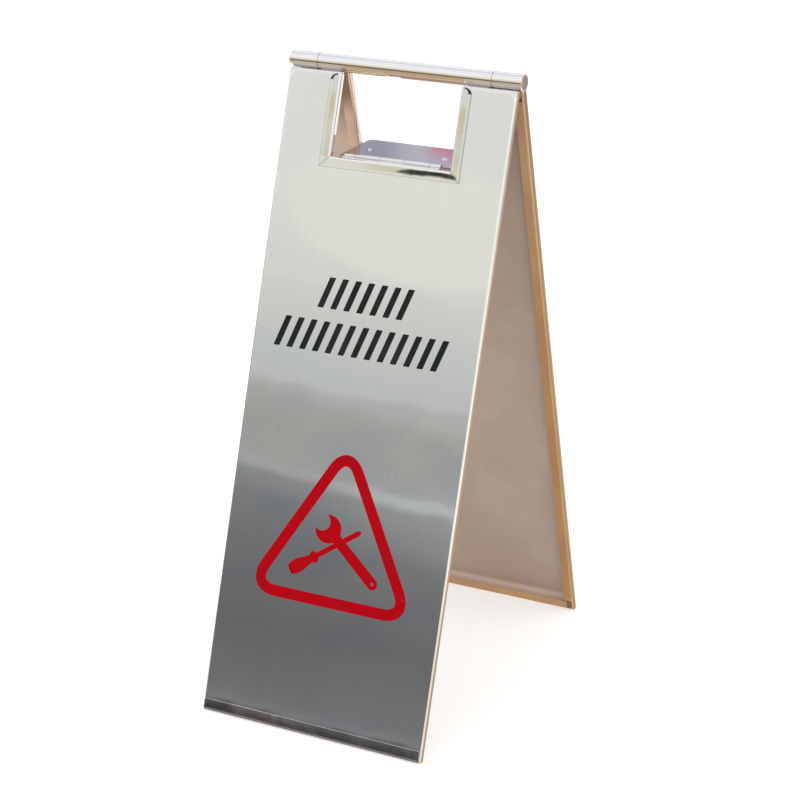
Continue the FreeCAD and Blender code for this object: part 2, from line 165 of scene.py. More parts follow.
def add(tree, kind, name, **settings):
    """One new node of that kind, with its name and settings."""
    node = tree.nodes.new(kind)
    node.name = name
    node.label = name
    for key, value in settings.items():
        setattr(node, key, value)
    return node


def feed(tree, socket, value):
    """Joins an output to an input, or writes a plain value on the input."""
    if isinstance(value, bpy.types.NodeSocket):
        tree.links.new(value, socket)
    else:
        socket.default_value = value


def maths(tree, name, operation, first, second=0.0, third=0.0, clamp=False):
    """The output of a Math node."""
    node = add(tree, "ShaderNodeMath", name, operation=operation, use_clamp=clamp)
    feed(tree, node.inputs[0], first)
    feed(tree, node.inputs[1], second)
    feed(tree, node.inputs[2], third)
    return node.outputs[0]


def ramp_between(tree, name, value, low, high, to_low=0.0, to_high=1.0):
    """A smooth step of value from low to high."""
    node = add(tree, "ShaderNodeMapRange", name, interpolation_type="SMOOTHSTEP")
    feed(tree, node.inputs["Value"], value)
    feed(tree, node.inputs["From Min"], low)
    feed(tree, node.inputs["From Max"], high)
    feed(tree, node.inputs["To Min"], to_low)
    feed(tree, node.inputs["To Max"], to_high)
    return node.outputs["Result"]


def fade(tree, name, value, low, high):
    """A smooth fall from 1 to 0 as value goes from low to high."""
    return ramp_between(tree, name, value, low, high, 1.0, 0.0)


def product(tree, name, first, second):
    """Two values multiplied."""
    return maths(tree, name, "MULTIPLY", first, second)


def mix_colours(tree, name, factor, first, second, blend="MIX"):
    """The colour output of a Mix node."""
    node = add(tree, "ShaderNodeMix", name, data_type="RGBA", blend_type=blend)
    feed(tree, node.inputs["Factor"], factor)
    for socket, value in ((node.inputs[6], first), (node.inputs[7], second)):
        if isinstance(value, tuple):
            value = (*value, 1.0)
        feed(tree, socket, value)
    return node.outputs[2]


def noise(tree, name, vector, scale, detail=2.0, roughness=0.5):
    """The value output of a Noise Texture."""
    node = add(tree, "ShaderNodeTexNoise", name)
    feed(tree, node.inputs["Vector"], vector)
    feed(tree, node.inputs["Scale"], scale)
    feed(tree, node.inputs["Detail"], detail)
    feed(tree, node.inputs["Roughness"], roughness)
    return node.outputs["Fac"]


def stretched(tree, name, vector, scale, turn=(0.0, 0.0, 0.0), shift=(0.0, 0.0, 0.0)):
    """The vector, turned, shifted and scaled by a Mapping node."""
    node = add(tree, "ShaderNodeMapping", name, vector_type="POINT")
    feed(tree, node.inputs["Vector"], vector)
    feed(tree, node.inputs["Location"], shift)
    feed(tree, node.inputs["Rotation"], turn)
    feed(tree, node.inputs["Scale"], scale)
    return node.outputs["Vector"]


def apart(tree, name, vector):
    """The x, y and z outputs of a vector."""
    node = add(tree, "ShaderNodeSeparateXYZ", name)
    feed(tree, node.inputs["Vector"], vector)
    return node.outputs["X"], node.outputs["Y"], node.outputs["Z"]


# ---------------------------------------------------------------- shared effects


def new_group(name, inputs, outputs):
    """An empty shader node group with its named sockets. Returns the tree and its two end nodes."""
    tree = bpy.data.node_groups.new(name, "ShaderNodeTree")
    for label, kind, default in inputs:
        socket = tree.interface.new_socket(label, in_out="INPUT", socket_type=kind)
        if default is not None:
            socket.default_value = default
    for label, kind in outputs:
        tree.interface.new_socket(label, in_out="OUTPUT", socket_type=kind)
    start = add(tree, "NodeGroupInput", "group input")
    end = add(tree, "NodeGroupOutput", "group output")
    return tree, start, end


def make_hairline_group():
    """Fine brushed lines along z: their height, and a slow change of tone from line to line."""
    tree, start, end = new_group(
        "hairline_brushing",
        [
            ("Vector", "NodeSocketVector", None),
            ("Lines Per Metre", "NodeSocketFloat", 2200.0),
            ("Line Stretch", "NodeSocketFloat", 60.0),
        ],
        [("Height", "NodeSocketFloat"), ("Tone", "NodeSocketFloat")],
    )
    x, y, z = apart(tree, "across and along", start.outputs["Vector"])
    along = maths(tree, "along the brushing", "DIVIDE", z, start.outputs["Line Stretch"])
    joined = add(tree, "ShaderNodeCombineXYZ", "drawn out lines")
    feed(tree, joined.inputs["X"], x)
    feed(tree, joined.inputs["Y"], y)
    feed(tree, joined.inputs["Z"], along)
    fine = noise(tree, "fine lines", joined.outputs["Vector"], start.outputs["Lines Per Metre"], 3.0, 0.65)
    wide = product(tree, "wider lines per metre", start.outputs["Lines Per Metre"], 0.16)
    broad = noise(tree, "broad lines", joined.outputs["Vector"], wide, 3.0, 0.6)
    height = maths(tree, "both line widths", "MULTIPLY_ADD", broad, 0.4, fine)
    tone = maths(tree, "tone of the lines", "ADD", broad, product(tree, "fine share", fine, 0.5))
    feed(tree, end.inputs["Height"], height)
    feed(tree, end.inputs["Tone"], ramp_between(tree, "tone range", tone, 0.35, 1.15))
    return tree


def make_handling_group():
    """Marks of use: soft cloudy smears, and thin scattered scratches."""
    tree, start, end = new_group(
        "handling_marks",
        [("Vector", "NodeSocketVector", None), ("Smear Size", "NodeSocketFloat", 0.05)],
        [("Smear", "NodeSocketFloat"), ("Scratch", "NodeSocketFloat")],
    )
    per_metre = maths(tree, "smears per metre", "DIVIDE", 1.0, start.outputs["Smear Size"])
    cloud = noise(tree, "smear clouds", start.outputs["Vector"], per_metre, 4.0, 0.55)
    feed(tree, end.inputs["Smear"], ramp_between(tree, "smear range", cloud, 0.42, 0.68))
    first = stretched(tree, "first lay", start.outputs["Vector"], (1.0, 1.0, 0.035), (0.3, 0.45, 0.2))
    second = stretched(tree, "second lay", start.outputs["Vector"], (1.0, 1.0, 0.03), (-0.5, -0.9, 0.4))
    masks = []
    for label, lay in (("first scratches", first), ("second scratches", second)):
        lines = noise(tree, label, lay, 420.0, 0.0, 0.5)
        masks.append(ramp_between(tree, label + " kept", lines, 0.80, 0.86))
    feed(tree, end.inputs["Scratch"], maths(tree, "all scratches", "MAXIMUM", masks[0], masks[1]))
    return tree


def make_zone_group():
    """A soft-edged band: 1 where the value lies between two limits."""
    tree, start, end = new_group(
        "band_between",
        [
            ("Value", "NodeSocketFloat", 0.0),
            ("From", "NodeSocketFloat", 0.0),
            ("To", "NodeSocketFloat", 1.0),
            ("Softness", "NodeSocketFloat", 0.0005),
        ],
        [("Mask", "NodeSocketFloat")],
    )
    value = start.outputs["Value"]
    soft = start.outputs["Softness"]
    low_end = maths(tree, "low edge end", "ADD", start.outputs["From"], soft)
    high_end = maths(tree, "high edge end", "ADD", start.outputs["To"], soft)
    rise = ramp_between(tree, "rising edge", value, start.outputs["From"], low_end)
    fall = ramp_between(tree, "falling edge", value, start.outputs["To"], high_end)
    feed(tree, end.inputs["Mask"], maths(tree, "inside both", "SUBTRACT", rise, fall, clamp=True))
    return tree


def make_orange_peel_group():
    """The faint pebbled skin of film and of buffed metal, as a height."""
    tree, start, end = new_group(
        "pebbled_skin",
        [("Vector", "NodeSocketVector", None), ("Pebbles Per Metre", "NodeSocketFloat", 600.0)],
        [("Height", "NodeSocketFloat")],
    )
    skin = noise(tree, "pebbles", start.outputs["Vector"], start.outputs["Pebbles Per Metre"], 1.5, 0.4)
    feed(tree, end.inputs["Height"], skin)
    return tree


HAIRLINE = make_hairline_group()
HANDLING = make_handling_group()
ZONE = make_zone_group()
PEBBLED = make_orange_peel_group()


def use_group(tree, group, name, **inputs):
    """One placing of a shared effect, with its own values."""
    node = add(tree, "ShaderNodeGroup", name, node_tree=group)
    for key, value in inputs.items():
        feed(tree, node.inputs[key.replace("_", " ")], value)
    return node


def zone(tree, name, value, low, high, soft):
    """The mask of one placing of the band group."""
    node = add(tree, "ShaderNodeGroup", name, node_tree=ZONE)
    feed(tree, node.inputs["Value"], value)
    feed(tree, node.inputs["From"], low)
    feed(tree, node.inputs["To"], high)
    feed(tree, node.inputs["Softness"], soft)
    return node.outputs["Mask"]


# ---------------------------------------------------------------- materials


def bare_tree(owner):
    """The emptied node tree of a material or world."""
    owner.use_nodes = True
    owner.node_tree.nodes.clear()
    return owner.node_tree


def new_object(name, data):
    """A new object of that mesh, lamp or camera, in the scene."""
    made = bpy.data.objects.new(name, data)
    bpy.context.scene.collection.objects.link(made)
    return made


def mesh_object(name, bm, material):
    """A new object with the mesh that bm holds and that material. It ends bm."""
    mesh = bpy.data.meshes.new(name)
    bm.to_mesh(mesh)
    bm.free()
    mesh.materials.append(material)
    return new_object(name, mesh)


def new_material(name):
    """An empty node material with a Principled BSDF. Returns the material, its tree and the shader."""
    material = bpy.data.materials.new(name)
    tree = bare_tree(material)
    output = add(tree, "ShaderNodeOutputMaterial", "surface out")
    shader = add(tree, "ShaderNodeBsdfPrincipled", "surface")
    tree.links.new(shader.outputs["BSDF"], output.inputs["Surface"])
    return material, tree, shader


def object_place(tree):
    """The point in the object's own coordinates."""
    return add(tree, "ShaderNodeTexCoord", "place on the object").outputs["Object"]


def leaf_place(tree, side):
    """Object coordinates turned into the leaf's own: x across, y in or out, z up along the leaf."""
    lean = -side * LEAF_LEAN
    shift = (0.0, -side * AXIS_HEIGHT * math.sin(LEAF_LEAN), -AXIS_HEIGHT * math.cos(LEAF_LEAN))
    return stretched(tree, "leaf measures", object_place(tree), (1.0, 1.0, 1.0), (lean, 0.0, 0.0), shift)


def bump(tree, shader, height, strength, distance):
    """Puts a height on the shader's normal."""
    node = add(tree, "ShaderNodeBump", "surface relief")
    node.inputs["Strength"].default_value = strength
    node.inputs["Distance"].default_value = distance
    feed(tree, node.inputs["Height"], height)
    tree.links.new(node.outputs["Normal"], shader.inputs["Normal"])


def across_tangent(tree, shader, anisotropic):
    """Brushing along the leaf spreads a reflection across it. The slight tilt serves the side flanges."""
    node = add(tree, "ShaderNodeCombineXYZ", "across the leaf")
    node.inputs["X"].default_value = 1.0
    node.inputs["Y"].default_value = 0.03
    node.inputs["Z"].default_value = 0.06
    tree.links.new(node.outputs["Vector"], shader.inputs["Tangent"])
    shader.inputs["Anisotropic"].default_value = anisotropic


def mix_values(tree, name, factor, first, second):
    """A value between two others."""
    node = add(tree, "ShaderNodeMix", name, data_type="FLOAT")
    feed(tree, node.inputs["Factor"], factor)
    feed(tree, node.inputs[2], first)
    feed(tree, node.inputs[3], second)
    return node.outputs[0]


def dress(tree, shader, colour, roughness, height, strength, distance):
    """Joins a colour, a roughness and a relief to the shader."""
    tree.links.new(colour, shader.inputs["Base Color"])
    tree.links.new(roughness, shader.inputs["Roughness"])
    bump(tree, shader, height, strength, distance)


def metal(name):
    """A new material of bare metal."""
    material, tree, shader = new_material(name)
    shader.inputs["Metallic"].default_value = 1.0
    return material, tree, shader


def dulled(tree, marks, polish, by_smears, by_scratches):
    """Roughness of a polished surface under its marks of use."""
    smeared = maths(tree, "smears dull it", "MULTIPLY_ADD", marks.outputs["Smear"], by_smears, polish)
    return maths(tree, "scratches dull it", "MULTIPLY_ADD", marks.outputs["Scratch"], by_scratches, smeared)


def edge_distance(tree, across, up):
    """How far a point of the face lies beyond a rounded line inside the leaf's outline."""
    corner = 9 * MM
    past_side = maths(tree, "past the side", "SUBTRACT", across, LEAF_HALF_WIDTH - corner)
    past_top = maths(tree, "past the top", "ADD", up, LEAF_TOP + corner + 1.8 * MM)
    side = maths(tree, "side part", "MAXIMUM", past_side, 0.0)
    top = maths(tree, "top part", "MAXIMUM", past_top, 0.0)
    squares = maths(tree, "squared", "MULTIPLY_ADD", side, side, product(tree, "top squared", top, top))
    return maths(tree, "from the outline", "SUBTRACT", maths(tree, "length", "SQRT", squares), corner)


def brushed_leaf(name, side):
    """A leaf: brushed and nicked outside with a polished border whose brighter tone is a painted highlight,
    and flanges and lips behind it whose tan tones are a painted reflection of a warm floor.

    The inside is dull, its warm tone a painted reflection of a warm floor, with painted light in its folds
    and about the opening, painted shade in the open lower corners, and matt in the deep fold above the
    bottom lip.
    """
    material, tree, shader = metal(name)
    place = leaf_place(tree, side)
    x, y, z = apart(tree, "leaf axes", place)
    across = maths(tree, "distance from the middle", "ABSOLUTE", x)
    outwards = maths(tree, "distance from the hinge plane", "ABSOLUTE", y)

    lines = use_group(
        tree, HAIRLINE, "face brushing", Vector=place, Lines_Per_Metre=900.0, Line_Stretch=90.0
    )
    marks = use_group(tree, HANDLING, "face marks", Vector=place, Smear_Size=0.07)

    skin = ramp_between(tree, "outer skin", outwards, FACE_OUT - 0.7 * SHEET, FACE_OUT - 0.3 * SHEET)
    top_fold = ramp_between(tree, "top fold", z, -LEAF_TOP - 0.9 * MM, -LEAF_TOP - 0.3 * MM)
    skin = maths(tree, "face and top fold", "MAXIMUM", skin, top_fold)
    bend_skin = ramp_between(
        tree, "outside of the bend", across, LEAF_HALF_WIDTH - 0.7 * SHEET, LEAF_HALF_WIDTH - 0.3 * SHEET
    )
    bend_depth = ramp_between(tree, "depth of the bend", outwards, BEND_START, BEND_START + 0.5 * MM)
    skin = maths(tree, "skin with the bend", "MAXIMUM", skin, product(tree, "bend", bend_skin, bend_depth))
    outline = edge_distance(tree, across, z)
    border = ramp_between(tree, "polished border", outline, -2.3 * MM, -1.5 * MM)
    brushed = product(tree, "brushed area", skin, maths(tree, "off the border", "SUBTRACT", 1.0, border))
    turned = ramp_between(
        tree, "turned edge", across, LEAF_HALF_WIDTH - 0.9 * MM, LEAF_HALF_WIDTH - 0.3 * MM
    )
    behind = fade(tree, "behind the bend", outwards, BEND_START - 0.2 * MM, BEND_START + 0.5 * MM)
    lips = fade(tree, "return lips", outwards, 0.8 * MM, 1.1 * MM)

    pale = mix_colours(tree, "tone of the face", lines.outputs["Tone"], *FACE_TONES)
    upright = stretched(tree, "upright", place, (1.0, 1.0, 0.16))
    nicks = noise(tree, "short upright nicks", upright, 520.0, 1.0)
    handled = ramp_between(tree, "more use lower down", z, -330 * MM, -270 * MM, 1.0, 0.15)
    dark_nicks = ramp_between(tree, "dark ones", nicks, 0.66, 0.74, 0.0, NICK_SHARE)
    dark_nicks = product(tree, "dark nicks", dark_nicks, handled)
    pale_nicks = ramp_between(tree, "pale ones", nicks, 0.34, 0.26, 0.0, NICK_SHARE)
    pale_nicks = product(tree, "pale nicks", pale_nicks, handled)
    pale = mix_colours(tree, "with dark nicks", dark_nicks, pale, NICK_DARK)
    pale = mix_colours(tree, "with pale nicks", pale_nicks, pale, NICK_PALE)
    # The border's brighter tone is a painted highlight on the polished bend, plainer along the top, and
    # towards the floor a painted reflection of a warm floor.
    top_border = ramp_between(tree, "along the top", z, -16 * MM, -12 * MM)
    border_tone = mix_colours(tree, "plainer along the top", top_border, BORDER_HIGHLIGHT, BORDER_TOP)
    low_border = fade(tree, "towards the floor", z, -540 * MM, -380 * MM)
    border_tone = mix_colours(tree, "painted floor reflection low on the border", low_border, border_tone, BORDER_FLOOR_REFLECTION)
    pale = mix_colours(tree, "tone of the border", border, pale, border_tone)
    # The inside's warm tones are a painted reflection of a warm floor.
    inside = mix_colours(tree, "tone of the inside", marks.outputs["Smear"], *INSIDE_TONES)
    # Painted light in the folds behind the lips, above the bottom lip and below the top fold, lifting their
    # shade.
    lip_backs = fade(tree, "backs of the lips and folds", outwards, 5.0 * MM, 6.0 * MM)
    low_pocket = fade(tree, "behind the bottom lip", z, LEAF_END + 11 * MM, LEAF_END + 19 * MM)
    pocket = maths(tree, "painted light in the pocket", "MAXIMUM", lip_backs, low_pocket)
    high_pocket = ramp_between(tree, "below the top fold", z, -24 * MM, -19 * MM)
    pocket = maths(tree, "painted light in the pocket at both ends", "MAXIMUM", pocket, high_pocket)
    # Painted light on the inside about the left of the opening, lifting its shade.
    beside_opening = fade(tree, "inside beside the opening", across, 98 * MM, 110 * MM)
    along_opening = fade(tree, "inside along the opening", z, -OPENING_BOTTOM, -30 * MM)
    paler = product(tree, "about the opening", beside_opening, along_opening)
    paler = product(tree, "above its sill", paler, ramp_between(tree, "sill", z, -160 * MM, -88 * MM))
    on_left = fade(tree, "left of the middle", x, -20 * MM, 20 * MM)
    paler = product(tree, "on the left", paler, on_left)
    inside = mix_colours(tree, "painted light at the opening", paler, inside, OPENING_PAINTED_LIGHT)
    inside = mix_colours(tree, "painted light in folds", pocket, inside, POCKET_PAINTED_LIGHT)
    # Painted shade in the open corners where the side lips end above the bottom lip.
    near_side = ramp_between(
        tree, "near the side", across, LEAF_HALF_WIDTH - 12.5 * MM, LEAF_HALF_WIDTH - 11 * MM
    )
    near_end = ramp_between(tree, "near the lower end", z, LEAF_END + 12 * MM, LEAF_END + 14 * MM, 0.9, 0.0)
    open_corner = product(tree, "open corner of the lips", near_side, near_end)
    inside = mix_colours(tree, "painted shade in the open corner", open_corner, inside, CORNER_PAINTED_SHADE)
    colour = mix_colours(tree, "outside or inside", skin, inside, pale)
    # The flanges' tones are a painted reflection of a warm floor, warmer and darker lower down, with painted
    # shade deeper towards the lip.
    flange = product(tree, "turned edge behind the bend", turned, behind)
    deeper = ramp_between(tree, "towards the lip", outwards, 0.5 * MM, BEND_START, 0.82, 1.1)
    flange_tone = mix_colours(tree, "darker towards the lip", 1.0, FLANGE_TONES[side], deeper, "MULTIPLY")
    if side < 0:
        warmer = fade(tree, "warmer lower down", z, -300 * MM, -180 * MM)
        flange_tone = mix_colours(tree, "warmer flange", warmer, flange_tone, FLANGE_WARM_REFLECTION, "MULTIPLY")
        near_floor = ramp_between(tree, "darker near the floor", z, -540 * MM, -440 * MM, 0.84, 1.0)
        flange_tone = mix_colours(tree, "darker flange", 1.0, flange_tone, near_floor, "MULTIPLY")
    colour = mix_colours(tree, "turned edges", flange, colour, flange_tone)
    # The lips' tan and gold tones are a painted reflection of a warm floor, with a painted highlight along
    # the fold of each lip.
    patches = noise(tree, "slow change along a lip", place, 14.0, 1.0)
    patches = ramp_between(tree, "lip patches", patches, 0.42, 0.58)
    lip_tone = mix_colours(tree, "tone of the lips", patches, *LIP_TONES)
    low = ramp_between(tree, "lower end", z, LEAF_END + 8 * MM, LEAF_END + 16 * MM, 1.08, 1.0)
    lip_tone = mix_colours(tree, "bottom lip is lighter", 1.0, lip_tone, low, "MULTIPLY")
    golden = fade(tree, "deeper gold lower down", z, -330 * MM, -80 * MM)
    higher = ramp_between(tree, "above the bottom lip", z, LEAF_END + 12 * MM, LEAF_END + 18 * MM)
    golden = product(tree, "not on the bottom lip", golden, higher)
    lip_tone = mix_colours(tree, "gold of the lips", golden, lip_tone, LIP_GOLD_REFLECTION, "MULTIPLY")
    fold_line = ramp_between(
        tree, "fold of a lip", across, LEAF_HALF_WIDTH - 2.6 * MM, LEAF_HALF_WIDTH - 1.8 * MM, 1.0, 1.3
    )
    lip_tone = mix_colours(tree, "painted highlight on the fold", 1.0, lip_tone, fold_line, "MULTIPLY")
    # The opening's side lips are painted dark in the upper half, a painted shade under the tube, and pale in
    # the lower half, a painted light.
    lower_half = fade(tree, "lower half of the opening", z, -58 * MM, -28 * MM)
    opening_lip = mix_colours(tree, "tone of the opening's lips", lower_half, *OPENING_LIP_SHADE_AND_LIGHT)
    near_opening = fade(
        tree, "near the opening", across, OPENING_HALF_WIDTH + 12 * MM, OPENING_HALF_WIDTH + 16 * MM
    )
    by_height = ramp_between(tree, "beside the opening", z, -OPENING_BOTTOM - 4 * MM, -OPENING_BOTTOM)
    at_opening = product(tree, "the opening's side lips", near_opening, by_height)
    lip_tone = mix_colours(tree, "outer or opening lips", at_opening, lip_tone, opening_lip)
    colour = mix_colours(tree, "return lips colour", lips, colour, lip_tone)

    rough = mix_values(tree, "brushed or polished", brushed, 0.042, 0.034)
    rough = dulled(tree, marks, rough, 0.006, 0.008)
    inner = maths(tree, "inner side", "SUBTRACT", 1.0, skin)
    inner = maths(tree, "inner side off the flanges", "SUBTRACT", inner, flange, clamp=True)
    rough = maths(tree, "inside is dull", "MULTIPLY_ADD", inner, 0.6, rough)
    rough = maths(tree, "flanges are satin", "MULTIPLY_ADD", flange, 0.25, rough)
    deep = ramp_between(
        tree, "deep in the bottom pocket", z, LEAF_END + 11 * MM, LEAF_END + 16 * MM, 0.85, 0.0
    )
    off_lips = maths(tree, "off the lips", "SUBTRACT", inner, lips, clamp=True)
    deep = product(tree, "inside only", deep, off_lips)
    tree.links.new(maths(tree, "matt in the pocket", "SUBTRACT", 1.0, deep), shader.inputs["Metallic"])

    relief = product(tree, "lines on the brushed area", lines.outputs["Height"], brushed)
    relief = product(tree, "depth of the lines", relief, LINE_DEPTH)
    long_buckles = stretched(tree, "long buckles", place, (1.0, 1.0, 0.6))
    buckles = noise(tree, "buckles of the sheet", long_buckles, 24.0, 1.5)
    buckles = product(tree, "buckles on the outer skin", buckles, skin)
    relief = maths(tree, "lines and buckles", "MULTIPLY_ADD", buckles, BUCKLE_DEPTH, relief)
    dress(tree, shader, colour, rough, relief, 1.0, MM)
    across_tangent(tree, shader, 0.75)
    return material


def opening_trim(name, side):
    """Buffed folded strip round the hand opening: an olive cast and other painted reflections, a painted
    highlight along the rolled edge, painted shade at the rounded top corners, a dark joint partly in painted
    shade, and dark mitres.
    """
    material, tree, shader = metal(name)
    place = leaf_place(tree, side)
    x, y, z = apart(tree, "leaf axes", place)
    across = maths(tree, "distance from the middle", "ABSOLUTE", x)
    from_side = maths(tree, "out from the side edge", "SUBTRACT", across, OPENING_HALF_WIDTH)
    from_bottom = maths(tree, "down from the bottom edge", "MULTIPLY_ADD", z, -1.0, -OPENING_BOTTOM)
    width = maths(tree, "across the strip", "MAXIMUM", from_side, from_bottom)
    marks = use_group(tree, HANDLING, "trim marks", Vector=place, Smear_Size=0.02)

    # The trim's olive, pale, golden and grey lengths and its paler outer rim are painted reflections.
    on_bottom = ramp_between(tree, "bottom strip", from_bottom, 0.0, 2 * MM)
    paler_left = fade(tree, "paler to the left", x, -45 * MM, -5 * MM)
    pale_part = product(tree, "pale end of the bottom strip", on_bottom, paler_left)
    tone = mix_colours(tree, "olive or pale", pale_part, TRIM_OLIVE, TRIM_PALE)
    golden = product(tree, "golden length", zone(tree, "upper third", z, -56 * MM, -32 * MM, 5 * MM), 0.8)
    greyer = ramp_between(tree, "above the golden length", z, -34 * MM, -24 * MM)
    greyer = product(tree, "greyer top", greyer, 0.6)
    tone = mix_colours(tree, "grey top of the side", greyer, tone, FACE_TONES[0])
    tone = mix_colours(tree, "painted golden reflection", golden, tone, TRIM_GOLD)
    smeared = mix_colours(tree, "smeared tone", marks.outputs["Smear"], tone, TRIM_PALE)
    rim = ramp_between(
        tree, "outer rim is paler", width, TRIM_WIDTH - 3.4 * MM, TRIM_WIDTH - 1.8 * MM, 0.0, 0.9
    )
    tone = mix_colours(tree, "half smeared", 0.5, tone, smeared)
    tone = mix_colours(tree, "rim tone", rim, tone, FACE_TONES[0])
    # Painted highlight along the rolled edge.
    fold = fade(tree, "rolled edge", width, 1.6 * MM, 2.6 * MM)
    tone = mix_colours(tree, "painted highlight on the rolled edge", fold, tone, TRIM_ROLLED_HIGHLIGHT)
    # A dark joint with the leaf, partly painted shade under the strip's raised edge.
    joint = ramp_between(
        tree, "joint with the leaf", width, TRIM_WIDTH - 0.8 * MM, TRIM_WIDTH - 0.3 * MM, 0.0, 0.55
    )
    tone = mix_colours(tree, "dark joint", joint, tone, SEAM_DARK)
    side_less_bottom = maths(tree, "side less bottom", "SUBTRACT", from_side, from_bottom)
    off_mitre = maths(tree, "off the mitre", "ABSOLUTE", side_less_bottom)
    mitre = ramp_between(tree, "mitre line", off_mitre, 0.3 * MM, 0.9 * MM, 0.7, 0.0)
    tone = mix_colours(tree, "dark mitre", mitre, tone, SEAM_DARK)
    # Painted shade at the rounded top outer corners.
    beside = maths(tree, "beyond the corner's centre", "SUBTRACT", from_side, TRIM_WIDTH - TRIM_CORNER)
    above = maths(tree, "above the corner's centre", "ADD", z, LEAF_TOP + TRIM_CORNER)
    beside_squared = product(tree, "beside squared", beside, beside)
    both_squared = maths(tree, "with above squared", "MULTIPLY_ADD", above, above, beside_squared)
    radial = maths(tree, "out from the corner's centre", "SQRT", both_squared)
    corner = ramp_between(tree, "rounded rim", radial, TRIM_CORNER - 3.6 * MM, TRIM_CORNER - 2.8 * MM)
    outer_side = ramp_between(tree, "outer side", beside, -0.8 * MM, 0.2 * MM)
    corner = product(tree, "outer quarter", corner, outer_side)
    upper_side = ramp_between(tree, "upper side", above, -1.2 * MM, 0.0)
    corner = product(tree, "upper quarter", corner, upper_side)
    tone = mix_colours(tree, "painted shade at the rounded corner", corner, tone, TRIM_SHADED)
    # The rosy inner wall is a painted reflection.
    outwards = maths(tree, "distance from the hinge plane", "ABSOLUTE", y)
    inward = fade(tree, "inner wall", outwards, FACE_OUT - 1.2 * MM, FACE_OUT - 0.4 * MM)
    rose = product(tree, "painted rosy reflection on the rear inner wall", inward, 0.9 if side > 0 else 0.25)
    tone = mix_colours(tree, "inner wall tone", rose, tone, TRIM_ROSE)

    rough = dulled(tree, marks, 0.015, 0.006, 0.02)
    skin = use_group(tree, PEBBLED, "buffed skin", Vector=place, Pebbles_Per_Metre=70.0)
    dress(tree, shader, tone, rough, skin.outputs["Height"], 0.35, 0.00002)
    return material


def bottom_strip(name, side):
    """Polished strip along the bottom edge: a painted brownish and reddish reflection along one length, a
    painted reflection of a dark floor on the turned edge, faint joints.
    """
    material, tree, shader = metal(name)
    place = leaf_place(tree, side)
    x, y, z = apart(tree, "leaf axes", place)
    across = maths(tree, "distance from the middle", "ABSOLUTE", x)
    above = maths(tree, "up from the leaf's end", "ADD", z, LEAF_LENGTH)
    marks = use_group(tree, HANDLING, "strip marks", Vector=place, Smear_Size=0.02)

    # The brownish and reddish lengths are painted reflections.
    brown = zone(tree, "brownish length", x, -90 * MM, -38 * MM, 8 * MM)
    tone = mix_colours(tree, "strip tone", brown, STRIP_STEEL, STRIP_BROWN_REFLECTION)
    red_reflection = zone(tree, "reddish length", x, -68 * MM, -50 * MM, 5 * MM)
    tone = mix_colours(tree, "reddish patch", red_reflection, tone, STRIP_RED_REFLECTION)
    smudge = product(tree, "light smears", marks.outputs["Smear"], 0.25)
    tone = mix_colours(tree, "smeared tone", smudge, tone, STRIP_SMEAR)
    # A painted reflection of a dark floor on the turned-under edge.
    turned = fade(tree, "turned under", above, 1.5 * MM, 2.4 * MM)
    tone = mix_colours(tree, "turned edge tone", turned, tone, STRIP_EDGE_REFLECTION)
    joint = zone(
        tree, "joints of the end pieces", across, STRIP_JOINT - 0.5 * MM, STRIP_JOINT + 0.2 * MM, 0.3 * MM
    )
    tone = mix_colours(tree, "dark joints", product(tree, "joint share", joint, 0.7), tone, SEAM_DARK)

    rough = dulled(tree, marks, 0.05, 0.02, 0.04)
    skin = use_group(tree, PEBBLED, "buffed skin", Vector=place, Pebbles_Per_Metre=80.0)
    dress(tree, shader, tone, rough, skin.outputs["Height"], 0.3, 0.00006)
    return material


